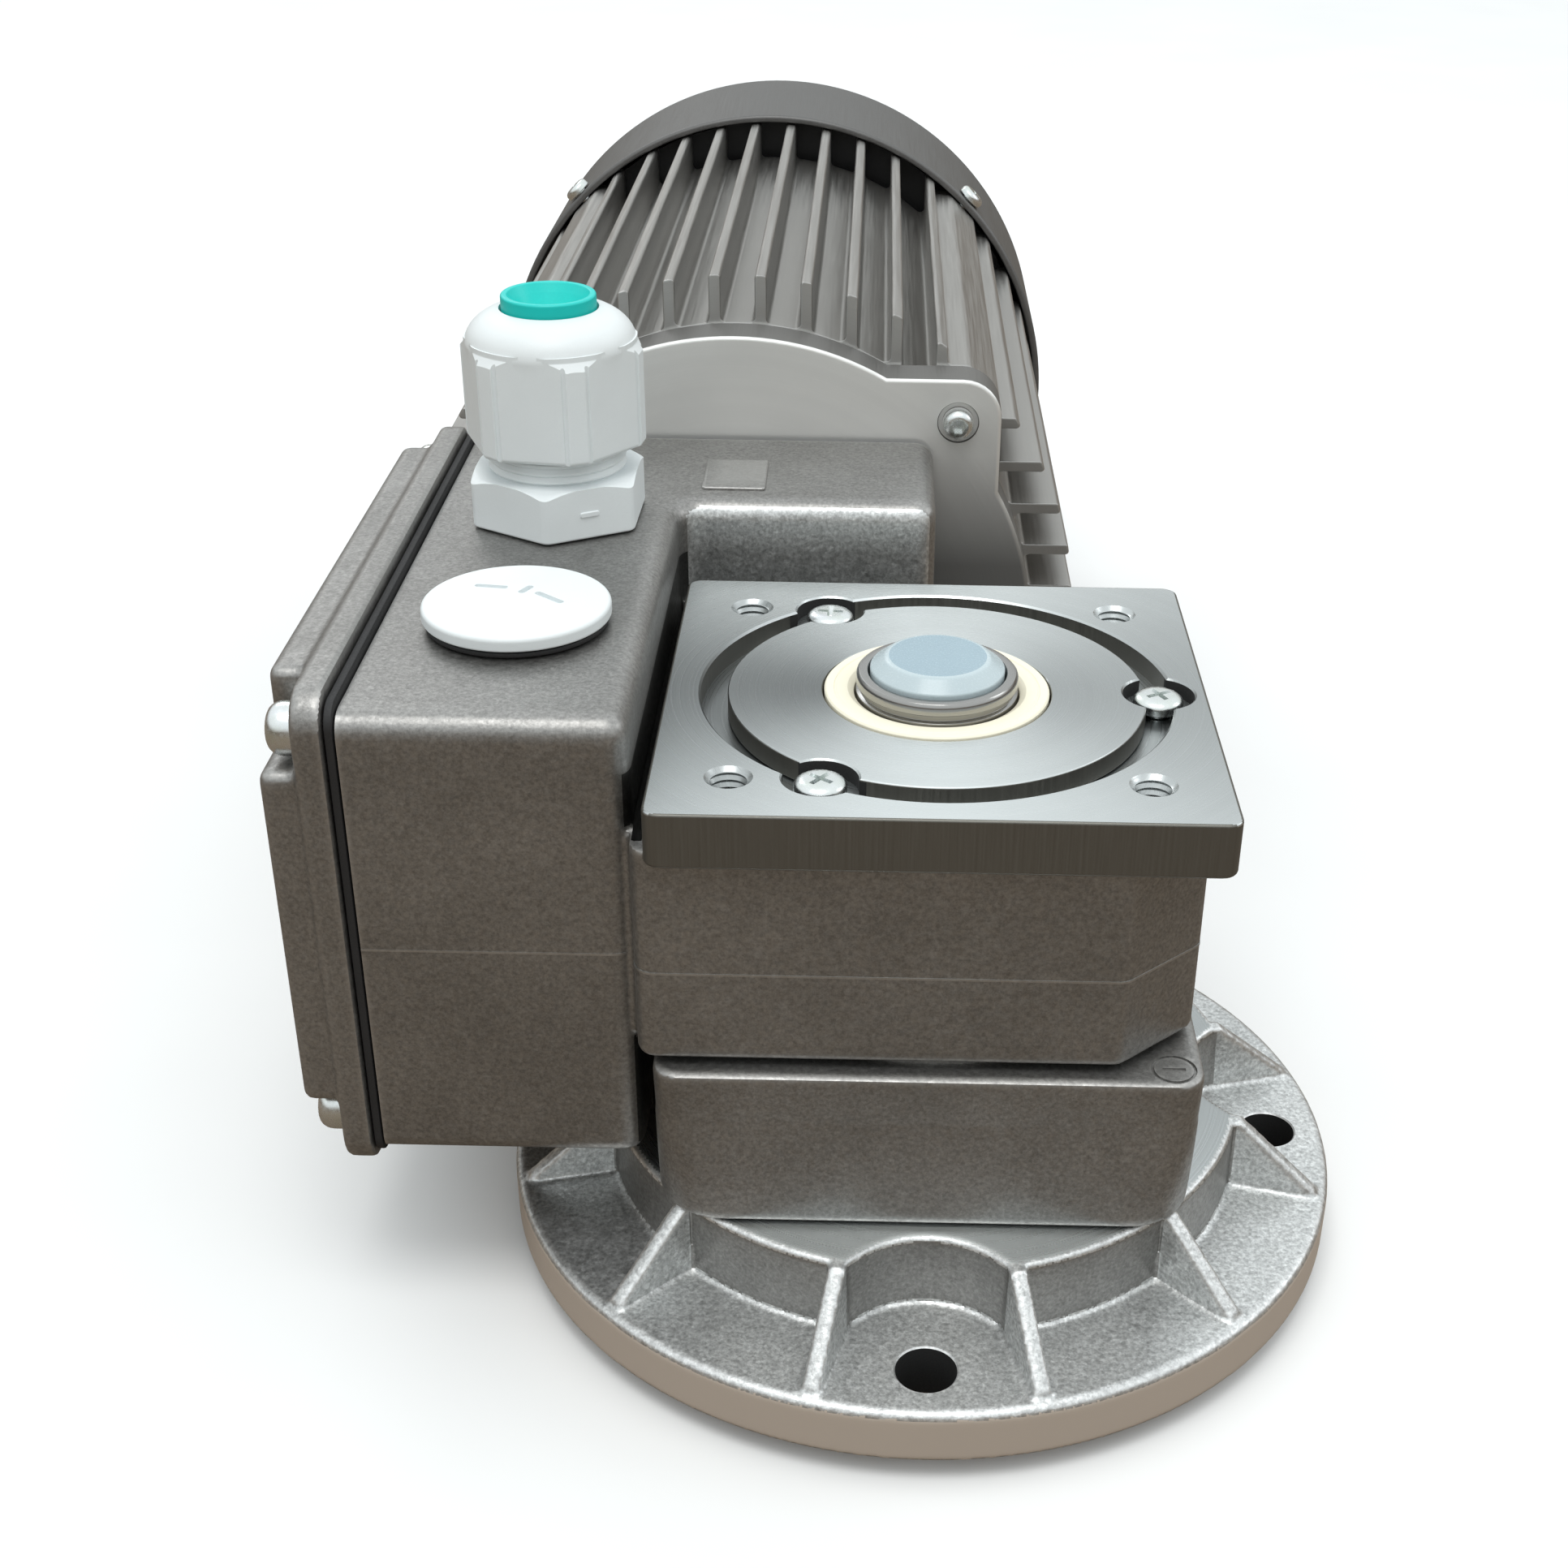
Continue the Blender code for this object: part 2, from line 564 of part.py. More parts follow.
def output_bearings_and_seals():
    ring("output_bearing_upper", 15.0 + GAP, BEARING_R, 84.7, 97.5, "bright_steel")
    ring("output_bearing_lower", 15.0 + GAP, BEARING_R, 43.9, 57.0, "bright_steel")
    ring("shaft_seal_top", SHAFT_R + GAP, SEAL_R, 99.3, TOP_Z + 0.5, "seal_cream")
    ring("shaft_seal_bottom", SHAFT_R + GAP, 19.0, 15.0, 23.0, "seal_black")


# ---------------------------------------------------------------- worm and motor shaft
def thread(name, turns, sides=14):
    """The worm's single right-hand thread as one closed sweep, in the motor's frame."""
    lead = math.pi * MODULE
    base_r, tip_r = 6.4, WORM_PITCH_R + MODULE
    base_half, tip_half = 2.1, 0.36
    steps = int(turns * sides)
    points = []
    for k in range(steps + 1):
        turn = 2 * math.pi * (k - steps / 2) / sides
        along = lead * turn / (2 * math.pi)
        grow = min(1.0, k / (sides / 4), (steps - k) / (sides / 4))
        tip = base_r + 0.3 + (tip_r - base_r - 0.3) * grow
        for radius, half in ((base_r, -base_half), (tip, -tip_half), (tip, tip_half), (base_r, base_half)):
            points.append((radius * math.cos(turn), radius * math.sin(turn), along + half))
    faces = [[0, 1, 2, 3], [4 * steps + i for i in range(4)]]
    for k in range(steps):
        for i in range(4):
            j = (i + 1) % 4
            faces.append([4 * k + i, 4 * k + j, 4 * (k + 1) + j, 4 * (k + 1) + i])
    return add_object(name, points, faces, "bright_steel", MOTOR)


def worm_shaft():
    """The rotor shaft: worm, seal journal, two bearing journals and the fan's seat."""
    profile = [(0.0, -33.2), (5.7, -33.2), (5.7, -24.9), (6.9, -24.9), (6.9, 26.0), (8.0, 27.0), (8.0, 78.0),
               (9.7, 78.0), (9.7, REAR_SHIELD_Y[1] + 1.0), (7.2, REAR_SHIELD_Y[1] + 1.0),
               (7.2, FAN_Y[1] + 4.0), (0.0, FAN_Y[1] + 4.0)]
    shaft = turned("worm_shaft", profile, "bright_steel", MOTOR, sides=14)
    return join(shaft, thread("thread", 5.0))


def fan():
    """A back plate almost as wide as the cowl, a hub and straight radial blades."""
    bore, hub_r, blades, half = 7.5, 13.0, 8, 1.2
    front, back = FAN_Y
    plate = front + 2.5
    body = turned("fan", [(bore, front), (FAN_R, front), (FAN_R, plate), (hub_r, plate), (hub_r, back),
                          (bore, back)], "plastic_black", MOTOR, ROUND)
    for i in range(blades):
        angle = 2 * math.pi * i / blades
        c, s = math.cos(angle), math.sin(angle)
        outline = [(x * c - y * s, x * s + y * c)
                   for x, y in ((hub_r - 1.0, -half), (58.0, -half), (58.0, half), (hub_r - 1.0, half))]
        join(body, prism("blade", outline, plate - 0.5, back - 1.0, "plastic_black", MOTOR))
    return body


# ---------------------------------------------------------------- motor
def motor_screw_places():
    """The four end shield screws, from the motor axis."""
    return [(x, y) for y in (-MOTOR_SCREW_AT, MOTOR_SCREW_AT) for x in (-MOTOR_SCREW_AT, MOTOR_SCREW_AT)]


def end_shield_outline(steps=8):
    """A square with round corners and a circle, whichever reaches further, as one outline."""
    side, corner, radius = 53.8, 8.0, 61.8
    reach = side - corner
    meet = math.acos(side / radius)
    outline = []
    for quarter in range(4):
        base = quarter * math.pi / 2
        for k in range(steps + 1):
            angle = base - meet + 2 * meet * k / steps
            outline.append((radius * math.cos(angle), radius * math.sin(angle)))
        for k in range(5):
            angle = base + math.pi / 8 * k
            c, s = math.cos(base + math.pi / 4), math.sin(base + math.pi / 4)
            cx, cy = reach * math.sqrt(2) * c, reach * math.sqrt(2) * s
            outline.append((cx + corner * math.cos(angle), cy + corner * math.sin(angle)))
    return outline


def motor_end_shield():
    body = prism("motor_end_shield", end_shield_outline(), SHIELD_Y, STATOR_Y[0] - GAP, frame=MOTOR)
    soften(body, 0.8, 1)
    join(body, rod("boss", 30.0, 103.0, 112.0, frame=MOTOR, sides=HIDDEN_ROUND))
    cut(body,
        rod("bearing_seat", 23.8, 98.3, 120.0, frame=MOTOR, sides=HIDDEN_ROUND),
        rod("shaft_hole", 14.0, 90.0, 100.0, frame=MOTOR, sides=24),
        rod("wire_hole", WIRE_HOLE[2], 90.0, 110.0, at=WIRE_HOLE[:2], frame=MOTOR))
    for place in motor_screw_places():
        cut(body, rod("screw_hole", 2.4, 90.0, 110.0, at=place, frame=MOTOR))
    return smooth(body)


def stator_side():
    """One side of the finned section, from one solid corner to the next, as (across, up)."""
    half = FIN_THICK / 2
    points = [(CORNER_CUT, CORNER_SIDE), (FIN_OFFSETS[-1] + half, CORNER_SIDE)]
    for offset in list(reversed(FIN_OFFSETS)) + [-f for f in FIN_OFFSETS]:
        for across, reach in ((half, FIN_ROOT_R), (half, FIN_TIP_R), (-half, FIN_TIP_R), (-half, FIN_ROOT_R)):
            points.append((offset + across, math.sqrt(reach ** 2 - (offset + across) ** 2)))
    points.append((-FIN_OFFSETS[-1] - half, CORNER_SIDE))
    # the outermost fins rise straight from the solid corners
    del points[-2], points[2]
    return points + [(-CORNER_CUT, CORNER_SIDE)]


def stator_housing():
    """The finned aluminium extrusion, the same on its four sides."""
    outline = []
    for quarter in range(4):
        c, s = math.cos(quarter * math.pi / 2), math.sin(quarter * math.pi / 2)
        outline += [(round(x * c - y * s, 6), round(x * s + y * c, 6)) for x, y in stator_side()]
    body = prism("stator_housing", outline, *STATOR_Y, frame=MOTOR)
    cut(body, rod("bore", STATOR_BORE_R, 90.0, STATOR_Y[1] + 9.0, frame=MOTOR, sides=ROUND))
    for place in motor_screw_places():
        cut(body, rod("screw_hole", 2.4, 100.0, 124.0, at=place, frame=MOTOR))
    for frame in cowl_screw_frames():
        cut(body, rod("cowl_screw_hole", 2.1, 62.5, 80.0, frame=frame))
    return smooth(body)


def cowl_screw_frames():
    """Frames on the motor axis whose own Z points out through each corner rail."""
    frames = []
    for i in range(4):
        angle = math.radians(45 + 90 * i)
        frames.append(((MOTOR_X, COWL_SCREW_Y, MOTOR_Z), (0.0, math.pi / 2 - angle, 0.0)))
    return frames


def fan_cowl():
    low, high = COWL_Y
    inner = COWL_R - COWL_WALL
    profile = [(inner, low), (COWL_R, low), (COWL_R, high - 7.0), (COWL_R - 7.0, high), (0.0, high),
               (0.0, high - 2.0), (COWL_R - 8.0, high - 2.0), (inner, high - 8.0)]
    body = turned("fan_cowl", profile, "cast_grey", MOTOR)
    slots = [prism("grille_slot", slot_outline(inside, inside + 8.0, 90.0 * quarter), high - 6.0, high + 1.0,
                   frame=MOTOR) for inside in (20.0, 35.0, 50.0) for quarter in range(4)]
    cut(body, group(slots))
    for frame in cowl_screw_frames():
        cut(body, rod("cowl_screw_hole", 2.1, 66.0, 80.0, frame=frame))
    return smooth(body)


def slot_outline(inside, outside, start, steps=3):
    """A curved slot through most of a quarter turn, leaving a spoke at each end."""
    margin = math.degrees(3.5 / inside)
    angles = [start + margin + (90.0 - 2 * margin) * k / steps for k in range(steps + 1)]
    return [around(outside, a) for a in angles] + [around(inside, a) for a in reversed(angles)]


def motor_inside():
    """Core, windings, bearings and rear end shield, all sealed in the stator housing."""
    core_low, core_high = CORE_Y
    low, high = REAR_SHIELD_Y
    ring("stator_core", 36.2, 59.7, core_low, core_high, "lamination", MOTOR)
    ring("winding_front", 38.0, 57.0, core_low - 12.0, core_low - GAP, "copper", MOTOR)
    ring("winding_rear", 38.0, 57.0, core_high + GAP, core_high + 13.0, "copper", MOTOR)
    ring("motor_bearing_front", 10.0, 23.5, 98.6, 111.8, "bright_steel", MOTOR)
    ring("motor_bearing_rear", 10.0, 23.5, low - 14.6, low - 0.8, "bright_steel", MOTOR)
    ring("worm_bearing", 6.0, 14.0, -33.7, -25.2, "bright_steel", MOTOR)
    ring("input_shaft_seal", 8.3, 20.0, 66.3, 73.5, "seal_black", MOTOR)
    smooth(turned("rear_end_shield", [(59.7, low), (59.7, high), (10.5, high), (10.5, low - 0.5),
                                      (23.8, low - 0.5), (23.8, low - 15.0), (28.5, low - 15.0), (28.5, low)],
                  "cast_grey", MOTOR, HIDDEN_ROUND))


def rotor_core():
    return ring("rotor_core", 10.0, 35.6, *CORE_Y, "lamination", MOTOR)


def motor_screws():
    facing = ((MOTOR_X, SHIELD_Y, MOTOR_Z), (math.pi / 2, 0.0, 0.0))
    for i, place in enumerate(motor_screw_places()):
        cap_screw(f"end_shield_screw_{i + 1}", 3.0, 2.6, 2.0, 26.0, facing, place, GAP)
    for i, frame in enumerate(cowl_screw_frames()):
        cap_screw(f"fan_cowl_screw_{i + 1}", 3.4, 2.2, 1.7, 10.0, frame, seat=COWL_R + GAP)


# ---------------------------------------------------------------- terminal box
def terminal_cover():
    """The side cover: a base plate, a raised panel and notched corners for the screws."""
    z_low, z_high, y_low, y_high = 29.9, 118.2, BOX_FRONT - 1.0, BOX_BACK - 0.4
    low, high = 1.9, 6.9
    body = soften(prism("terminal_cover", rectangle((z_low, y_low), (z_high, y_high), 6.5, 4), low, high,
                        frame=COVER), 0.8, 1)
    inset, notch = 1.2, 12.0
    a, b, c, d = z_low + inset, z_high - inset, y_low + inset, y_high - inset
    outline = [(a, c + notch), (a + notch, c + notch), (a + notch, c), (b - notch, c), (b - notch, c + notch),
               (b, c + notch), (b, d - notch), (b - notch, d - notch), (b - notch, d), (a + notch, d),
               (a + notch, d - notch), (a, d - notch)]
    join(body, soften(prism("panel", rounded(outline, 1.5, 2), high - 0.5, high + 6.0, frame=COVER), 1.2, 1))
    hollow = [(a + 8.0, c + notch + 4.0), (b - 8.0, c + notch + 4.0), (b - 8.0, d - notch - 4.0),
              (a + 8.0, d - notch - 4.0)]
    cut(body, prism("hollow", hollow, low - 1.0, high + 3.0, frame=COVER))
    for place in LID_SCREWS:
        cut(body, rod("screw_hole", 2.4, 0.0, 12.0, at=place, frame=COVER))
    return smooth(body)


def terminal_box_fittings():
    """Gasket, cover screws, blanking plug, O-ring and the terminal block with its earth screw."""
    outline = rectangle((BOX_LOW - 1.5, BOX_FRONT - 0.2), (BOX_TOP + 1.5, BOX_BACK), 4.0)
    gasket = prism("cover_gasket", outline, GAP, 1.6, "seal_black", COVER)
    inner = rectangle((BOX_LOW + 13.0, BOX_FRONT + 13.0), (BOX_TOP - 13.0, BOX_BACK - 13.0))
    cut(gasket, prism("opening", inner, -1.0, 3.0, frame=COVER))
    for i, place in enumerate(LID_SCREWS):
        cut(gasket, rod("screw_hole", 2.4, -1.0, 3.0, at=place, frame=COVER))
        cap_screw(f"terminal_cover_screw_{i + 1}", 4.3, 4.4, 2.0, 16.0, COVER, place, 7.2)
    smooth(gasket)
    x, y = PLUG_AT
    plug = turned("blanking_plug", [(0.0, 118.8), (14.4, 118.8), (15.5, 118.0), (15.5, 116.4), (12.6, 116.4),
                                    (12.6, 106.0), (10.8, 106.0), (10.8, 116.0), (0.0, 116.0)],
                  "plastic_white", sides=HIDDEN_ROUND)
    cut(plug, box("slot", (-7.0, -1.1, 117.8), (7.0, 1.1, 120.0)))
    seal = ring("plug_o_ring", THREAD_HOLE_R, 15.0, BOX_TOP + GAP, 116.1, "seal_black")
    for piece in (plug, seal):
        piece.location = (x * MM, y * MM, 0.0)
        smooth(piece)
    terminal_block()
    cap_screw("earth_screw", 3.8, 2.4, 1.6, 7.0, EARTH_WALL, EARTH_SCREW[1:], GAP)


def terminal_block():
    """A base with four barriers and six studs, on the wall beside the worm tunnel."""
    body = box("terminal_block", (-67.0, 12.0, 60.0), (-57.3, 54.0, 86.0), "plastic_black")
    for i in range(4):
        y = 12.0 + 13.2 * i
        join(body, box("barrier", (-72.0, y + 0.01, 60.5), (-66.0, y + 2.4, 85.5), "plastic_black"))
    for i in range(3):
        for z in (66.0, 80.0):
            stud = rod("stud", 2.0, 9.0, 20.0, "plastic_black", at=(z, 20.0 + 13.2 * i),
                       frame=((-57.3, 0.0, 0.0), COVER[1]), sides=12)
            join(body, stud)
    return smooth(body, 30.0)


def hexagon(across_flats, turn):
    return circle(across_flats / math.sqrt(3.0), 6, math.radians(turn))


def cable_gland():
    """An M25 gland: body, dome nut, sealing insert, dust plug and locknut."""
    x, y = GLAND_AT
    body = prism("gland_body", hexagon(29.4, GLAND_BASE_TURN), 115.2, 124.5, "plastic_white")
    soften(body, 0.8, 1)
    join(body, rod("neck", 12.5, 105.0, 140.0, "plastic_white", sides=HIDDEN_ROUND))
    cut(body, rod("bore", 10.3, 100.0, 145.0, sides=HIDDEN_ROUND))

    nut = soften(prism("gland_nut", hexagon(29.8, GLAND_NUT_TURN), 129.3, 147.0, "plastic_white"), 1.2, 1)
    dome = turned("dome", [(0.0, 145.0), (15.2, 145.0), (15.4, 147.6), (14.2, 150.6), (11.5, 152.8),
                           (9.6, 153.4), (0.0, 153.4)], "plastic_white", sides=HIDDEN_ROUND)
    join(nut, dome)
    cut(nut,
        rod("thread_bore", THREAD_HOLE_R, 120.0, 146.0, sides=HIDDEN_ROUND),
        rod("mouth", 8.8, 140.0, 160.0, sides=HIDDEN_ROUND))

    insert = ring("gland_seal", 6.6, 9.9, 128.0, 145.0, "seal_black", sides=HIDDEN_ROUND)
    cup = [(0.0, 134.0), (6.2, 134.0), (6.2, 146.0), (8.4, 146.0), (8.4, 155.8), (6.9, 155.8), (5.4, 150.0),
           (0.0, 150.0)]
    dust = turned("gland_dust_plug", cup, "plastic_teal", sides=HIDDEN_ROUND)
    locknut = prism("gland_locknut", hexagon(28.0, 30.0), 107.2, 111.1, "plastic_white")
    cut(locknut, rod("thread_bore", THREAD_HOLE_R, 100.0, 115.0, sides=HIDDEN_ROUND))
    for piece in (body, nut, insert, dust, locknut):
        piece.location = (x * MM, y * MM, 0.0)
        smooth(piece)


# ---------------------------------------------------------------- assembly
def main():
    clear_scene()
    gear_housing()
    bearing_cover()
    cover_disc_screws()
    lower_housing()
    output_flange()
    flange_bolts()
    output_bearings_and_seals()
    motor_end_shield()
    stator_housing()
    fan_cowl()
    motor_inside()
    motor_screws()
    terminal_cover()
    terminal_box_fittings()
    cable_gland()
    ride(on_axis("output_axis", WORLD), hollow_shaft(), worm_wheel(), wheel_key(), *shaft_caps())
    ride(on_axis("rotor_axis", MOTOR), worm_shaft(), rotor_core(), fan())


main()
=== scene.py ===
"""The looks of the right-angle worm geared motor: fine meshes, materials, light and camera.

Lengths are millimetres unless a name says otherwise; meshes are made in metres in the frame's axes.
"""

import json
import math

import bmesh
import bpy
from mathutils import Matrix, Vector


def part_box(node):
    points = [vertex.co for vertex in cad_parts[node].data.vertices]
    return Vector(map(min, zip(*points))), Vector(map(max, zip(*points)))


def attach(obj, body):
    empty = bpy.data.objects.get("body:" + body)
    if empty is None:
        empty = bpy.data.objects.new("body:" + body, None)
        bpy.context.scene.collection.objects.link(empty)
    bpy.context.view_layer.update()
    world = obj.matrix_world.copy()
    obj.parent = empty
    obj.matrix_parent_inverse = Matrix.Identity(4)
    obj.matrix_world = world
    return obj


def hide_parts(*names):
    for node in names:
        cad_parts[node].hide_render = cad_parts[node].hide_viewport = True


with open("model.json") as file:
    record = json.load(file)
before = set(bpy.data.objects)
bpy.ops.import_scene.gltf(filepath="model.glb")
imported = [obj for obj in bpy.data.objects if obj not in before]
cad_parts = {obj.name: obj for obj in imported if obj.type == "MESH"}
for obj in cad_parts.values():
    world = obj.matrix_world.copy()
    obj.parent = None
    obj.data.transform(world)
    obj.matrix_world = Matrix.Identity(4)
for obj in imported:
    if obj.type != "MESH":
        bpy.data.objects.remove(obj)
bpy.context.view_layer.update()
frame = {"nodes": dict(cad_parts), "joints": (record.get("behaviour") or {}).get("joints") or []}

MM = 0.001
JOINTS = {joint["name"]: joint for joint in frame["joints"]}


# ---------------------------------------------------------------- places read from the frame, mm
def span(node):
    """Lowest and highest corner of a CAD node."""
    low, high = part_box(node)
    return low / MM, high / MM


def middle_of(node):
    """The centre of a CAD node's box."""
    return sum(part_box(node), Vector()) / 2 / MM


MOTOR_X, _, MOTOR_Z = (c / MM for c in JOINTS["rotor_spin"]["pos_m"])
WORLD = Matrix.Identity(4)
MOTOR = Matrix.Translation((MOTOR_X, 0.0, MOTOR_Z)) @ Matrix.Rotation(-math.pi / 2, 4, "X")

HOUSING_LOW, HOUSING_HIGH = span("gear_housing")
DISC_LOW, DISC_HIGH = span("bearing_cover")
LOWER_LOW, LOWER_HIGH = span("lower_housing")
FLANGE_HIGH = span("output_flange")[1]
LID_LOW, LID_HIGH = span("terminal_cover")
SHIELD_LOW, SHIELD_HIGH = span("motor_end_shield")
STATOR_LOW, STATOR_HIGH = span("stator_housing")
COWL_LOW, COWL_HIGH = span("fan_cowl")
SHAFT_LOW, SHAFT_HIGH = span("hollow_shaft")
PLUG_LOW, PLUG_HIGH = span("blanking_plug")

BOX_LEFT = HOUSING_LOW.x
BOX_TOP = HOUSING_HIGH.z
BOX_LOW = HOUSING_LOW.z
BOX_BACK = HOUSING_HIGH.y
COVER = Matrix.Translation((BOX_LEFT, 0.0, 0.0)) @ Matrix.Rotation(-math.pi / 2, 4, "Y")
TOP_Z = DISC_HIGH.z


# ---------------------------------------------------------------- mesh helpers
def add_piece(name, points, faces, place=WORLD):
    """A closed mesh from points in mm in the given frame, with its normals out."""
    mesh = bpy.data.meshes.new(name)
    mesh.from_pydata([(place @ Vector(p)) * MM for p in points], [], faces)
    shape = bmesh.new()
    shape.from_mesh(mesh)
    bmesh.ops.recalc_face_normals(shape, faces=shape.faces)
    shape.to_mesh(mesh)
    shape.free()
    piece = bpy.data.objects.new(name, mesh)
    bpy.context.scene.collection.objects.link(piece)
    return piece


def loft(name, rings, place=WORLD):
    """Rings with the same number of points, joined in order and capped at both ends."""
    count = len(rings[0])
    points = [p for ring in rings for p in ring]
    faces = [list(range(count)), list(range(count * (len(rings) - 1), count * len(rings)))]
    for k in range(len(rings) - 1):
        for i in range(count):
            j = (i + 1) % count
            faces.append([k * count + i, k * count + j, (k + 1) * count + j, (k + 1) * count + i])
    return add_piece(name, points, faces, place)


def inset(outline, amount):
    """A counter-clockwise outline moved inward along its corners' bisectors."""
    if abs(amount) < 1e-9:
        return list(outline)
    moved = []
    for i, (x, y) in enumerate(outline):
        ax, ay = outline[i - 1]
        bx, by = outline[(i + 1) % len(outline)]
        into, out = Vector((x - ax, y - ay)).normalized(), Vector((bx - x, by - y)).normalized()
        first, second = Vector((-into.y, into.x)), Vector((-out.y, out.x))
        bisector = (first + second).normalized()
        reach = amount / max(0.35, bisector.dot(first))
        moved.append((x + bisector.x * reach, y + bisector.y * reach))
    return moved


def prism(name, outline, low, high, foot=0.0, head=0.0, place=WORLD, steps=4, foot_scale=1.0):
    """An extruded outline whose lower and upper edges are rounded by foot and head."""
    levels = []
    for k in range(steps + 1 if foot else 1):
        turn = math.pi / 2 * k / steps
        levels.append((foot * (1 - math.sin(turn)), low + foot * (1 - math.cos(turn))))
    for k in range(steps + 1 if head else 1):
        turn = math.pi / 2 * (1 - k / steps)
        levels.append((head * (1 - math.sin(turn)), high - head * (1 - math.cos(turn))))
    rings = []
    for amount, z in levels:
        scale = foot_scale + (1.0 - foot_scale) * (z - low) / (high - low)
        rings.append([(x * scale, y * scale, z) for x, y in inset(outline, amount)])
    return loft(name, rings, place)


def turned(name, profile, place=WORLD, sides=96, at=(0.0, 0.0)):
    """A closed profile of (radius, height) turned about the frame's own Z."""
    points = []
    rings = []
    for radius, height in profile:
        if radius < 1e-9:
            rings.append([len(points)])
            points.append((at[0], at[1], height))
            continue
        rings.append(list(range(len(points), len(points) + sides)))
        for i in range(sides):
            angle = 2 * math.pi * (i + 0.5) / sides
            points.append((at[0] + radius * math.cos(angle), at[1] + radius * math.sin(angle), height))
    faces = []
    for ring, after in zip(rings, rings[1:] + rings[:1]):
        for i in range(sides):
            j = (i + 1) % sides
            if len(ring) == 1 and len(after) == 1:
                break
            if len(ring) == 1:
                faces.append([ring[0], after[i], after[j]])
            elif len(after) == 1:
                faces.append([ring[i], ring[j], after[0]])
            else:
                faces.append([ring[i], ring[j], after[j], after[i]])
    return add_piece(name, points, faces, place)


def rod(name, radius, low, high, at=(0.0, 0.0), place=WORLD, sides=48, chamfer=0.0):
    """A cylinder; a chamfer widens its upper end, which cuts a countersunk mouth."""
    profile = [(0.0, low), (radius, low), (radius, high), (0.0, high)]
    if chamfer:
        profile[2:] = [(radius, high - chamfer), (radius + chamfer + 2.0, high + 2.0), (0.0, high + 2.0)]
    return turned(name, profile, place, sides, at)


def rounded(corners, radius, steps=5):
    """A polygon with its corners rounded; radius is one value or one for each corner."""
    radii = list(radius) if isinstance(radius, (list, tuple)) else [radius] * len(corners)
    outline = []
    for i, (x, y) in enumerate(corners):
        if radii[i] < 1e-6:
            outline.append((x, y))
            continue
        a = Vector(corners[i - 1]) - Vector((x, y))
        b = Vector(corners[(i + 1) % len(corners)]) - Vector((x, y))
        a.normalize()
        b.normalize()
        half = a.angle(b) / 2
        back = radii[i] / math.tan(half)
        centre = Vector((x, y)) + (a + b).normalized() * radii[i] / math.sin(half)
        start = Vector((x, y)) + a * back - centre
        end = Vector((x, y)) + b * back - centre
        first = math.atan2(start.y, start.x)
        sweep = (math.atan2(end.y, end.x) - first + math.pi) % (2 * math.pi) - math.pi
        for k in range(steps + 1):
            angle = first + sweep * k / steps
            outline.append((centre.x + radii[i] * math.cos(angle), centre.y + radii[i] * math.sin(angle)))
    return outline


def rectangle(low, high, radius=0.0, steps=5):
    corners = [(low[0], low[1]), (high[0], low[1]), (high[0], high[1]), (low[0], high[1])]
    return rounded(corners, radius, steps) if radius else corners


def around(radius, degrees):
    angle = math.radians(degrees)
    return (radius * math.cos(angle), radius * math.sin(angle))


def bake(piece):
    """Replace the piece's mesh with its evaluated mesh and drop its modifiers."""
    graph = bpy.context.evaluated_depsgraph_get()
    graph.update()
    made = bpy.data.meshes.new_from_object(piece.evaluated_get(graph))
    old = piece.data
    piece.modifiers.clear()
    piece.data = made
    bpy.data.meshes.remove(old)
    made.name = piece.name
    return piece


def combine(piece, others, operation, solver):
    for other in others:
        step = piece.modifiers.new("join", "BOOLEAN")
        step.operation = operation
        step.solver = solver
        step.object = other
        bake(piece)
        bpy.data.objects.remove(other, do_unlink=True)
    return piece


def cut(piece, *others, solver="MANIFOLD"):
    return combine(piece, others, "DIFFERENCE", solver)


def join(piece, *others, solver="MANIFOLD"):
    return combine(piece, others, "UNION", solver)


def keep_inside(piece, *others, solver="MANIFOLD"):
    return combine(piece, others, "INTERSECT", solver)


def cast(piece, cell, passes):
    """Blend the piece's unions into one skin with the soft corners of a casting."""
    step = piece.modifiers.new("skin", "REMESH")
    step.mode = "VOXEL"
    step.voxel_size = cell * MM
    soft = piece.modifiers.new("soft", "SMOOTH")
    soft.factor = 0.5
    soft.iterations = passes
    return bake(piece)


def finish_piece(piece, body, replaced, finishes, limit=32.0, choose=None):
    """Shading, materials, the body it rides on and the CAD nodes it stands for."""
    mesh = piece.data
    mesh.materials.clear()
    for finish in finishes:
        mesh.materials.append(finish)
    for face in mesh.polygons:
        face.material_index = choose(face.center / MM, face.normal) if choose else 0
    mesh.shade_smooth()
    mesh.set_sharp_from_angle(angle=math.radians(limit))
    even = piece.modifiers.new("even", "WEIGHTED_NORMAL")
    even.keep_sharp = True
    even.weight = 80
    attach(piece, body)
    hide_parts(*replaced)
    return piece


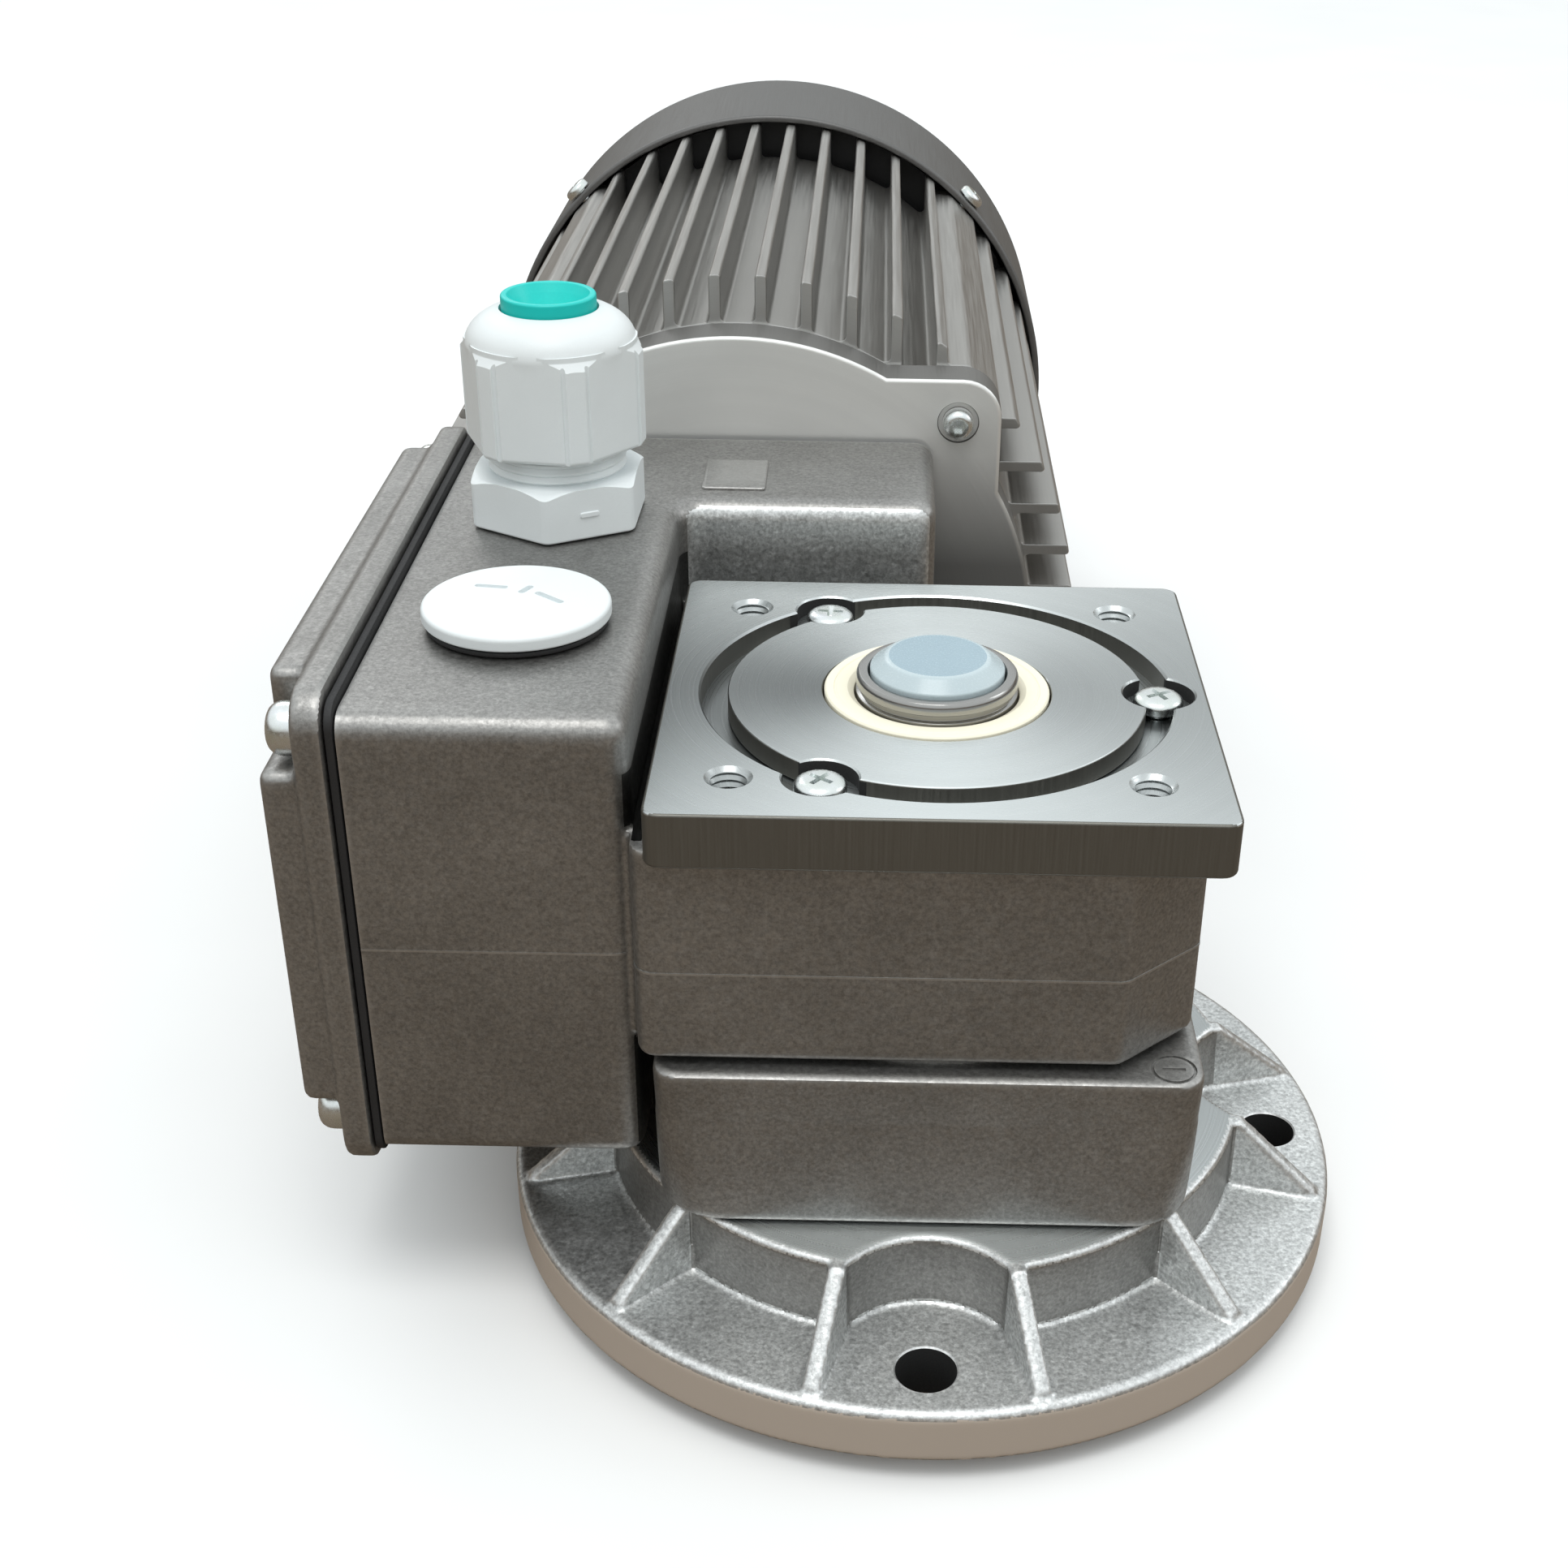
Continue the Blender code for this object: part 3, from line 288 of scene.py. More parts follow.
# ---------------------------------------------------------------- materials
class Finish:
    """A Principled material whose nodes work in the piece's own millimetres."""

    def __init__(self, name):
        self.material = bpy.data.materials.new(name)
        self.material.use_nodes = True
        self.nodes = self.material.node_tree.nodes
        self.links = self.material.node_tree.links
        self.shader = self.nodes["Principled BSDF"]
        self.place = self.nodes.new("ShaderNodeTexCoord").outputs["Object"]
        self.normal = None

    def link(self, source, target):
        self.links.new(source, target)

    def mapped(self, stretch=(1.0, 1.0, 1.0), centre=(0.0, 0.0, 0.0)):
        """Object coordinates in mm, stretched along each axis about a centre."""
        node = self.nodes.new("ShaderNodeMapping")
        for i in range(3):
            node.inputs["Scale"].default_value[i] = stretch[i] / MM
            node.inputs["Location"].default_value[i] = -centre[i] * stretch[i]
        self.link(self.place, node.inputs["Vector"])
        return node.outputs["Vector"]

    def noise(self, per_mm, detail=3.0, stretch=(1.0, 1.0, 1.0), rough=0.55):
        node = self.nodes.new("ShaderNodeTexNoise")
        node.inputs["Scale"].default_value = per_mm
        node.inputs["Detail"].default_value = detail
        node.inputs["Roughness"].default_value = rough
        self.link(self.mapped(stretch), node.inputs["Vector"])
        return node.outputs["Fac"]

    def grains(self, per_mm):
        """A random value for each small cell."""
        node = self.nodes.new("ShaderNodeTexVoronoi")
        node.inputs["Scale"].default_value = per_mm
        self.link(self.mapped(), node.inputs["Vector"])
        split = self.nodes.new("ShaderNodeSeparateColor")
        self.link(node.outputs["Color"], split.inputs["Color"])
        return split.outputs["Red"]

    def rings(self, axis, centre, per_mm, detail=2.0):
        """Turning marks: noise that changes only with the distance from an axis."""
        stretch = [0.0 if i == axis else 1.0 for i in range(3)]
        length = self.nodes.new("ShaderNodeVectorMath")
        length.operation = "LENGTH"
        self.link(self.mapped(stretch, centre), length.inputs[0])
        node = self.nodes.new("ShaderNodeTexNoise")
        node.noise_dimensions = "1D"
        node.inputs["Scale"].default_value = per_mm
        node.inputs["Detail"].default_value = detail
        self.link(length.outputs["Value"], node.inputs["W"])
        return node.outputs["Fac"]

    def painted_sheen_weight(self):
        """How far a spot lies to the left or right of the Z axis: 1 at left, 0.62 at right, 0 in front; it
        weights a painted reflection that darkens a turned face at its sides.
        """
        split = self.nodes.new("ShaderNodeSeparateXYZ")
        unit = self.nodes.new("ShaderNodeVectorMath")
        unit.operation = "NORMALIZE"
        self.link(self.mapped((1.0, 1.0, 0.0)), unit.inputs[0])
        self.link(unit.outputs["Vector"], split.inputs["Vector"])
        across = split.outputs["X"]
        side = self.maths("SUBTRACT", 0.81, self.maths("MULTIPLY", across, 0.19))
        return self.maths("MULTIPLY", self.maths("MULTIPLY", across, across), side)

    def spread(self, value, low, high, from_low=0.3, from_high=0.7):
        """The value mapped from its usual range to low..high."""
        node = self.nodes.new("ShaderNodeMapRange")
        node.inputs["From Min"].default_value = from_low
        node.inputs["From Max"].default_value = from_high
        node.inputs["To Min"].default_value = low
        node.inputs["To Max"].default_value = high
        self.link(value, node.inputs["Value"])
        return node.outputs["Result"]

    def maths(self, operation, a, b):
        node = self.nodes.new("ShaderNodeMath")
        node.operation = operation
        for i, value in enumerate((a, b)):
            if isinstance(value, (int, float)):
                node.inputs[i].default_value = value
            else:
                self.link(value, node.inputs[i])
        return node.outputs["Value"]

    def blend(self, first, second, factor, mode="MIX"):
        node = self.nodes.new("ShaderNodeMix")
        node.data_type = "RGBA"
        node.blend_type = mode
        for socket, value in ((node.inputs[6], first), (node.inputs[7], second), (node.inputs[0], factor)):
            if isinstance(value, (int, float)):
                socket.default_value = value
            elif isinstance(value, tuple):
                socket.default_value = (*value, 1.0)
            else:
                self.link(value, socket)
        return node.outputs[2]

    def worn(self):
        """How far a spot stands out as an edge, 0 to 1."""
        edge = self.nodes.new("ShaderNodeNewGeometry").outputs["Pointiness"]
        return self.spread(edge, 0.0, 1.0, 0.505, 0.56)

    def colour(self, value):
        if isinstance(value, tuple):
            self.shader.inputs["Base Color"].default_value = (*value, 1.0)
        else:
            self.link(value, self.shader.inputs["Base Color"])

    def roughness(self, value):
        if isinstance(value, (int, float)):
            self.shader.inputs["Roughness"].default_value = value
        else:
            self.link(value, self.shader.inputs["Roughness"])

    def metallic(self, value):
        self.shader.inputs["Metallic"].default_value = value

    def bump(self, height, strength, depth):
        """Add a height in mm to the surface's normal."""
        node = self.nodes.new("ShaderNodeBump")
        node.inputs["Strength"].default_value = strength
        node.inputs["Distance"].default_value = depth * MM
        self.link(height, node.inputs["Height"])
        if self.normal:
            self.link(self.normal, node.inputs["Normal"])
        self.normal = node.outputs["Normal"]
        self.link(self.normal, self.shader.inputs["Normal"])


def cast_metal(name, dark, light, grain=1.0, depth=0.09, contrast=1.0):
    """Blasted die-cast aluminium: speckled grain, soft patches and polished edges."""
    made = Finish(name)
    patches = made.spread(made.noise(0.045, 3.0), 0.0, 1.0)
    base = made.blend(dark, light, patches)
    speckle = made.spread(made.noise(1.5 * grain, 2.0, rough=0.7), 1.0 - 0.3 * contrast, 1.0 + 0.3 * contrast)
    flecks = made.spread(made.grains(1.9 * grain), 1.0 - 0.12 * contrast, 1.0 + 0.12 * contrast, 0.0, 1.0)
    base = made.blend(base, made.maths("MULTIPLY", speckle, flecks), 1.0, "MULTIPLY")
    polished = tuple(min(1.0, c * 1.8) for c in light)
    base = made.blend(base, polished, made.maths("MULTIPLY", made.worn(), 0.45))
    made.colour(base)
    made.roughness(made.spread(made.noise(0.8 * grain, 3.0), 0.36, 0.5))
    made.metallic(0.92)
    made.bump(made.noise(1.1 * grain, 3.0, rough=0.65), 0.7, depth)
    made.bump(made.noise(0.12, 2.0), 0.25, 0.25)
    return made.material


def machined_metal(name, tint, axis, centre, roughness=0.3, metallic=0.95, painted_sheen=0.0, painted_shade_heights=None):
    """A turned face: fine rings, faint stains and, if asked, a painted reflection that darkens it to the left
    and right and painted shade over its lower part.
    """
    made = Finish(name)
    fine = made.rings(axis, centre, 3.0, 4.0)
    broad = made.rings(axis, centre, 0.22, 2.0)
    stains = made.noise(0.06, 4.0)
    base = made.blend(tuple(c * 0.96 for c in tint), tint, made.spread(broad, 0.0, 1.0))
    base = made.blend(base, tuple(c * 0.92 for c in tint), made.spread(stains, 0.0, 0.5, 0.5, 0.75))
    if painted_shade_heights:
        # Painted shade: the face goes darker towards the bottom, down to 0.3 of its tint, between the two
        # given heights.
        height = made.nodes.new("ShaderNodeSeparateXYZ")
        made.link(made.mapped(), height.inputs["Vector"])
        dark = tuple(c * 0.3 for c in tint)
        base = made.blend(dark, base, made.spread(height.outputs["Z"], 0.0, 1.0, *painted_shade_heights))
    # Painted reflection: the base colour goes darker to the left and right of the axis, brighter in front and
    # behind.
    if painted_sheen:
        base = made.blend(base, (0.0, 0.0, 0.0), made.maths("MULTIPLY", made.painted_sheen_weight(), painted_sheen))
    made.colour(base)
    made.roughness(made.spread(fine, roughness - 0.06, roughness + 0.1))
    made.metallic(metallic)
    made.shader.inputs["Anisotropic"].default_value = 0.35
    made.bump(fine, 0.25, 0.006)
    made.bump(made.noise(2.2, 2.0), 0.12, 0.008)
    return made.material


def drawn_metal(name, tint, along, roughness=0.38, metallic=0.9):
    """Extruded or rolled metal: streaks along one axis."""
    made = Finish(name)
    stretch = [0.02 if i == along else 1.0 for i in range(3)]
    streaks = made.noise(2.0, 4.0, stretch)
    clouds = made.noise(0.05, 3.0)
    base = made.blend(tuple(c * 0.8 for c in tint), tint, made.spread(streaks, 0.0, 1.0))
    base = made.blend(base, tuple(c * 0.85 for c in tint), made.spread(clouds, 0.0, 0.6))
    made.colour(base)
    made.roughness(made.spread(streaks, roughness - 0.05, roughness + 0.1))
    made.metallic(metallic)
    made.bump(streaks, 0.3, 0.03)
    made.bump(made.noise(1.6, 2.0), 0.2, 0.02)
    return made.material


def plated_steel(name, tint, second, roughness=0.24):
    """Zinc plating: a bright skin whose tint wanders, with fine scratches."""
    made = Finish(name)
    base = made.blend(tint, second, made.spread(made.noise(0.35, 3.0), 0.0, 1.0))
    made.colour(base)
    made.roughness(made.spread(made.noise(1.5, 3.0), roughness - 0.06, roughness + 0.12))
    made.metallic(1.0)
    made.bump(made.noise(2.5, 2.0), 0.2, 0.02)
    return made.material


def moulded(name, tint, roughness=0.42, grain=0.03, glow=0.0, variation=0.06):
    """Moulded plastic or rubber: an even colour with slight clouds and a fine eggshell."""
    made = Finish(name)
    clouds = made.noise(0.08, 3.0)
    fine = made.noise(3.0, 2.0)
    dark = tuple(c * (1.0 - variation) for c in tint)
    base = made.blend(dark, tint, made.spread(clouds, 0.0, 1.0))
    base = made.blend(base, tuple(c * (1.0 - variation) for c in tint), made.spread(fine, 0.0, 0.5))
    made.colour(base)
    made.roughness(made.spread(fine, roughness - 0.05, roughness + 0.07))
    made.metallic(0.0)
    if glow:
        made.shader.inputs["Subsurface Weight"].default_value = glow
        made.shader.inputs["Subsurface Radius"].default_value = (0.004, 0.004, 0.004)
        made.shader.inputs["Subsurface Scale"].default_value = 0.5
    made.bump(fine, 0.3, grain)
    return made.material


def wound_copper(name):
    """Varnished windings: strands that run round the motor's axis."""
    made = Finish(name)
    strands = made.rings(1, (MOTOR_X, 0.0, MOTOR_Z), 1.6, 1.0)
    layers = made.noise(0.9, 3.0, (1.0, 4.0, 1.0))
    base = made.blend((0.35, 0.13, 0.05), (0.72, 0.34, 0.17), made.spread(strands, 0.0, 1.0))
    made.colour(base)
    made.roughness(made.spread(layers, 0.3, 0.5))
    made.metallic(0.8)
    made.bump(strands, 0.8, 0.2)
    made.bump(layers, 0.5, 0.15)
    return made.material


def stacked_sheets(name):
    """Electrical steel laminations: thin layers across the motor's axis."""
    made = Finish(name)
    layers = made.noise(2.0, 1.0, (0.01, 1.0, 0.01))
    base = made.blend((0.16, 0.17, 0.19), (0.36, 0.37, 0.39), made.spread(layers, 0.0, 1.0))
    made.colour(base)
    made.roughness(made.spread(layers, 0.35, 0.55))
    made.metallic(0.9)
    made.bump(layers, 0.6, 0.08)
    return made.material


AXIS_CENTRE = (MOTOR_X, 0.0, MOTOR_Z)
CAST = cast_metal("cast_grey", (0.27, 0.265, 0.255), (0.33, 0.325, 0.315), 1.0, 0.06, 0.7)
# Painted shade: a near-black copy of the cast finish for the box wall in the narrow cleft beside the plate.
CAST_PAINTED_SHADE = cast_metal("cast_painted_shade", (0.05, 0.05, 0.048), (0.08, 0.08, 0.077), 1.0, 0.06, 0.7)
CAST_FLANGE = cast_metal("cast_flange", (0.56, 0.57, 0.565), (0.67, 0.68, 0.675), 0.85, 0.11, 1.0)
# The faced output carries a painted reflection: darker to the left and right of the output axis.
FACED = machined_metal("faced_output", (0.73, 0.765, 0.765), 2, (0.0, 0.0, 0.0), 0.3, 0.95, 0.72)
MILLED = drawn_metal("milled_edge", (0.20, 0.195, 0.175), 2, 0.42, 0.85)
RIM = machined_metal("turned_rim", (0.70, 0.62, 0.54), 2, (0.0, 0.0, 0.0), 0.5, 0.3)
# Painted shade: the end shield's face goes darker towards the bottom, between z 88 and 112 mm.
FACED_MOTOR = machined_metal("faced_motor", (0.82, 0.82, 0.80), 1, AXIS_CENTRE, 0.42, 0.55,
                             painted_shade_heights=(88.0, 112.0))
# The end shield's outline sides: partly their own unfaced finish, partly painted shade, much darker than the
# faced front.
SHIELD_EDGE = drawn_metal("shield_edge", (0.22, 0.215, 0.205), 1, 0.5, 0.7)
EXTRUDED = drawn_metal("extruded", (0.46, 0.45, 0.43), 1)
SAWN = machined_metal("sawn_end", (0.50, 0.50, 0.49), 1, AXIS_CENTRE, 0.4, 0.8)
PRESSED = drawn_metal("pressed_cowl", (0.165, 0.163, 0.16), 1, 0.45, 0.6)
# Painted shade: a near-black finish put on pocket walls, bolt hole walls, the face at the box's joint to the
# end shield and the cowl's inside.
PAINTED_SHADE_BLACK = moulded("painted_shade_black", (0.018, 0.018, 0.018), 0.8, 0.03, 0.0, 0.3)
ZINC = plated_steel("zinc_plate", (0.78, 0.80, 0.82), (0.70, 0.74, 0.70))
STEEL = machined_metal("ground_steel", (0.36, 0.355, 0.345), 2, (0.0, 0.0, 0.0), 0.2)
STEEL_MOTOR = machined_metal("ground_steel_motor", (0.66, 0.66, 0.66), 1, AXIS_CENTRE, 0.24)
BLACKED = plated_steel("blacked_steel", (0.07, 0.07, 0.075), (0.11, 0.105, 0.10), 0.4)
BRONZE = machined_metal("bronze", (0.66, 0.44, 0.20), 2, (0.0, 0.0, 0.0), 0.3)
COPPER = wound_copper("copper")
LAMINATION = stacked_sheets("lamination")
CREAM = moulded("seal_cream", (0.93, 0.88, 0.71), 0.55, 0.02, 0.05, 0.04)
RUBBER = moulded("seal_black", (0.022, 0.022, 0.023), 0.65, 0.05, 0.0, 0.3)
WHITE = moulded("plastic_white", (0.83, 0.875, 0.885), 0.42, 0.03, 0.05, 0.05)
TEAL = moulded("plastic_teal", (0.005, 0.65, 0.60), 0.38, 0.02, 0.03, 0.1)
PALE = moulded("plastic_pale", (0.33, 0.44, 0.50), 0.24, 0.015, 0.35, 0.05)
# Painted highlight: a lighter copy of the cap's plastic for its outer ring.
PALE_PAINTED_HIGHLIGHT = moulded("plastic_pale_painted_highlight", (0.52, 0.61, 0.64), 0.24, 0.015, 0.35, 0.05)
BLACK = moulded("plastic_black", (0.035, 0.035, 0.037), 0.45, 0.03, 0.0, 0.2)


# ---------------------------------------------------------------- upper casting
DISC_SCREWS = [middle_of(f"bearing_cover_screw_{i}") for i in (1, 2, 3)]
RECESS_R = 39.3
RECESS_FLOOR = 100.2
POCKET_R = 6.0
POCKET_FLOOR = 101.3
PLATE_HALF = 45.0
PLATE_LOW = 94.8
CLEFT_LOW = 88.0                      # floor of the clefts between the plate and the box
BLOCK_Z = 57.4
BLOCK_FRONT = -41.7
BOX_FRONT = -36.4
BOX_INNER_SIDE = -47.5
BOX_NOTCH_Y = 56.5
BOX_RIGHT = 0.8
TAPPED_AT = 32.6
GLAND = middle_of("gland_body")
PLUG = (PLUG_LOW + PLUG_HIGH) / 2
LID_SCREWS = [middle_of(f"terminal_cover_screw_{i}") for i in (1, 2, 3, 4)]
SPLIT_Z = MOTOR_Z                     # the mould's parting plane
WIRE_HOLE = (-35.7, 0.0)
WIRE_HOLE_R = 7.0
SCREW_HOLE_R = 2.4
THREAD_HOLE_R = 12.9                  # clearance of the gland's and the plug's threads


def box_outline(spare):
    """The terminal box in plan, as an L that runs past its flat left and back faces by spare."""
    back = BOX_BACK + spare
    corners = [(BOX_LEFT - spare, BOX_FRONT), (BOX_INNER_SIDE, BOX_FRONT), (BOX_INNER_SIDE, BOX_NOTCH_Y),
               (BOX_RIGHT, BOX_NOTCH_Y), (BOX_RIGHT, back), (BOX_LEFT - spare, back)]
    return rounded(corners, (3.6, 3.8, 4.5, 3.8, 3.8, 3.6), 6)


def block_outline():
    corners = [(-60.0, -28.0), (-47.6, -28.0), (-47.6, BLOCK_FRONT), (30.0, BLOCK_FRONT), (43.0, -30.0),
               (43.0, 46.0), (-6.0, 46.0), (-6.0, 62.0), (-60.0, 62.0)]
    return rounded(corners, (0.0, 1.5, 3.4, 2.5, 2.5, 3.0, 3.0, 0.0, 0.0), 5)


def tapped_cutter(x, y, deep, top):
    """A threaded hole's cutter: rings of thread under a countersunk mouth."""
    bore, pitch, crest = 2.9, 1.25, 0.42
    profile = [(0.0, top - deep), (bore, top - deep)]
    z = top - deep + 1.0
    while z < top - 1.2:
        profile += [(bore, z), (bore + crest, z + pitch / 2)]
        z += pitch
    profile += [(bore, z), (3.2, top - 0.6), (5.8, top + 2.0), (0.0, top + 2.0)]
    return turned("tap", profile, at=(x, y), sides=40)


def in_pocket(centre):
    """Whether a spot lies in one of the disc screws' pockets."""
    return centre.z > POCKET_FLOOR - 0.1 and any(
        math.hypot(centre.x - place.x, centre.y - place.y) < POCKET_R + 0.4 for place in DISC_SCREWS)


def upper_casting():
    """Terminal box, gear block and machined square face, in one casting."""
    body = prism("upper_casting", box_outline(12.0), BOX_LOW, BOX_TOP, 2.5, 3.6, steps=6)
    join(body, prism("block", block_outline(), BLOCK_Z, PLATE_LOW + 1.0, 1.2, 0.0))
    cast(body, 0.65, 3)
    flash = 0.05
    join(body,
         prism("flash", inset(block_outline(), -flash), SPLIT_Z - 0.2, SPLIT_Z + 0.2),
         prism("flash", inset(box_outline(12.0), -flash), SPLIT_Z - 0.2, SPLIT_Z + 0.2),
         prism("plate", rectangle((-PLATE_HALF,) * 2, (PLATE_HALF,) * 2, 2.6, 6),
               PLATE_LOW, TOP_Z, 0.7, 0.45))
    y_low, y_high = BOX_FRONT + 3.5, BOX_BACK - 3.5
    z_low, z_high = BOX_LOW + 3.5, BOX_TOP - 3.5
    boss = 11.0
    space = [(z_low, y_low + boss), (z_low + boss, y_low + boss), (z_low + boss, y_low),
             (z_high - boss, y_low), (z_high - boss, y_low + boss), (z_high, y_low + boss),
             (z_high, y_high - boss), (z_high - boss, y_high - boss), (z_high - boss, y_high),
             (z_low + boss, y_high), (z_low + boss, y_high - boss), (z_low, y_high - boss)]
    joint_gap = 1.1
    cut(body,
        prism("trim", rectangle((BOX_LEFT - 30.0, -60.0), (BOX_LEFT, 120.0)), 0.0, 150.0),
        prism("trim", rectangle((BOX_LEFT - 30.0, BOX_BACK - joint_gap), (BOX_RIGHT + 30.0, 130.0)),
              0.0, 150.0))
    spigot = rectangle((BOX_LEFT - MOTOR_X, MOTOR_Z - BOX_TOP + 0.9), (BOX_RIGHT - MOTOR_X - 0.9,
                       MOTOR_Z - BOX_LOW - 0.9), 3.0)
    join(body, prism("spigot", spigot, BOX_BACK - 6.0, BOX_BACK, place=MOTOR))
    cut(body,
        prism("cleft", rectangle((BOX_INNER_SIDE + 0.15, BLOCK_FRONT + 3.5), (-PLATE_HALF - 0.1, 53.0), 0.8),
              CLEFT_LOW, PLATE_LOW + 3.0),
        prism("cleft", rectangle((-PLATE_HALF, PLATE_HALF + 0.1), (BOX_RIGHT - 8.0, BOX_NOTCH_Y - 0.15), 0.8),
              CLEFT_LOW, PLATE_LOW + 3.0),
        prism("space", rounded(space, 2.0, 3), 34.3 - 68.6, 10.0, place=COVER),
        prism("space_top", rectangle((-85.0, y_low + boss), (-51.2, y_high - boss), 2.0), 91.0, z_high),
        rod("chamber", 33.0, BLOCK_Z + 3.5, TOP_Z - 2.0, sides=96),
        rod("recess", RECESS_R, RECESS_FLOOR, TOP_Z, sides=128, chamfer=0.35),
        rod("floor_hole", 29.3, BLOCK_Z - 2.0, BLOCK_Z + 5.0),
        rod("worm_tunnel", 12.5, -26.0, 80.0, place=MOTOR),
        rod("worm_bearing_seat", 14.4, -34.0, -25.0, place=MOTOR),
        rod("shaft_seal_seat", 20.4, 66.0, 100.0, place=MOTOR),
        rod("wire_hole", WIRE_HOLE_R, 88.0, 100.0, at=WIRE_HOLE, place=MOTOR),
        rod("gland_hole", THREAD_HOLE_R, BOX_TOP - 6.0, BOX_TOP, at=(GLAND.x, GLAND.y), chamfer=0.4),
        rod("plug_hole", THREAD_HOLE_R, BOX_TOP - 6.0, BOX_TOP, at=(PLUG.x, PLUG.y), chamfer=0.4))
    for place in DISC_SCREWS:
        cut(body,
            rod("pocket", POCKET_R, POCKET_FLOOR, TOP_Z, at=(place.x, place.y), chamfer=0.3),
            rod("screw_hole", SCREW_HOLE_R, 88.0, TOP_Z, at=(place.x, place.y)))
    for x in (-TAPPED_AT, TAPPED_AT):
        for y in (-TAPPED_AT, TAPPED_AT):
            cut(body, tapped_cutter(x, y, 13.0, TOP_Z))
    for place in LID_SCREWS:
        cut(body, rod("lid_screw_hole", SCREW_HOLE_R, -12.0, 2.0, at=(place.z, place.y), place=COVER))
    pad_low, pad_high = (-44.0, 63.5), (-31.8, 79.5)
    join(body, prism("cast_pad", rectangle(pad_low, pad_high, 0.8), BOX_TOP - 1.0, BOX_TOP + 0.5, 0.0, 0.35))

    def choose(centre, normal):
        reach = max(abs(centre.x), abs(centre.y))
        wall = abs(normal.z) < 0.5
        # Painted shade: the screw pockets' walls and the box's back face at the joint gap go near-black.
        if in_pocket(centre) and wall or centre.y > BOX_BACK - joint_gap - 0.05:
            return 3
        # Painted shade: the walls of the recess around the disc take the much darker milled finish.
        if wall and math.hypot(centre.x, centre.y) < RECESS_R + 0.5 and centre.z > RECESS_FLOOR:
            return 2
        if reach < PLATE_HALF - 0.5 and centre.z > POCKET_FLOOR - 1.4:
            return 1
        if reach < PLATE_HALF + 0.05 and centre.z > PLATE_LOW + 0.05:
            return 2
        if math.hypot(centre.x, centre.y) < RECESS_R + 0.5 and centre.z > BLOCK_Z + 2.0:
            return 1
        # Painted shade: the box wall beside the plate, in the cleft, takes the near-black cast copy.
        beside_plate = abs(centre.x - BOX_INNER_SIDE) < 1.5 and -38.0 < centre.y < BOX_NOTCH_Y
        if beside_plate and normal.x > 0.7 and centre.z < TOP_Z + 1.5:
            return 4
        # Painted light: the notch's front-facing back wall takes the lighter flange cast.
        return 5 if abs(centre.y - BOX_NOTCH_Y) < 1.5 and normal.y < -0.7 and centre.x > BOX_INNER_SIDE else 0

    return finish_piece(body, "housing", ["gear_housing"],
                        (CAST, FACED, MILLED, PAINTED_SHADE_BLACK, CAST_PAINTED_SHADE, CAST_FLANGE), choose=choose)


def disc_cover():
    """The turned disc in the square face, with a skirt that holds the upper bearing."""
    rim, skirt, seat = DISC_HIGH.x, 32.7, 27.8
    floor, foot = RECESS_FLOOR + 0.3, DISC_LOW.z
    profile = rounded([(rim, TOP_Z), (rim, floor), (skirt, floor), (skirt, foot), (seat, foot), (seat, 97.8),
                       (16.0, 97.8), (16.0, 99.0), (19.05, 99.0), (19.05, TOP_Z)],
                      (0.4, 0.2, 0.0, 0.4, 0.4, 0.0, 0.0, 0.0, 0.0, 0.35), 3)
    disc = turned("disc_cover", profile, sides=160)
    for place in DISC_SCREWS:
        cut(disc, rod("pocket", POCKET_R, POCKET_FLOOR, TOP_Z, at=(place.x, place.y), chamfer=0.3))

    def choose(centre, normal):
        if abs(normal.z) > 0.5:
            return 0
        # Painted shade: walls in the pockets go near-black, the disc's outer wall takes the darker milled
        # finish.
        return 2 if in_pocket(centre) else 1

    return finish_piece(disc, "housing", ["bearing_cover"], (FACED, MILLED, PAINTED_SHADE_BLACK),
                        30.0, choose)


# ---------------------------------------------------------------- screws
def cross_cutter(size, top, deep, place):
    """The cross recess of a screw: two tapered slots."""
    wide = size * 0.2
    slots = []
    for a, b in ((size, wide), (wide, size)):
        rings = [[(-a * s, -b * s, z), (a * s, -b * s, z), (a * s, b * s, z), (-a * s, b * s, z)]
                 for s, z in ((0.55, top - deep), (1.0, top + 0.3))]
        slots.append(loft("cross", rings, place))
    return join(*slots)


def pan_screw(name, node, place, head_r, seat, high, shank_r, long, finish=ZINC,
              hexed=False):
    """A screw with a domed head and a cross or hexagon recess, on its frame's own Z."""
    top = seat + high
    tip = seat - long
    profile = [(0.0, tip), (shank_r * 0.8, tip), (shank_r, tip + 0.6), (shank_r, seat), (head_r - 0.15, seat),
               (head_r, seat + 0.15), (head_r, seat + 0.45 * high)]
    for k in range(1, 7):
        turn = math.pi / 2 * k / 6
        profile.append((head_r * (0.55 + 0.45 * math.cos(turn)),
                        seat + high * (0.45 + 0.55 * math.sin(turn))))
    profile.append((0.0, top))
    screw = turned(name, profile, place, 48)
    if hexed:
        corners = [around(head_r * 0.5, 60 * i) for i in range(6)]
        cut(screw, prism("socket", corners, top - 0.55 * high, top + 1.0, place=place))
    else:
        cut(screw, cross_cutter(head_r * 0.58, top, 0.6 * high, place), solver="EXACT")
    return finish_piece(screw, "housing", [node], (finish,), 35.0)


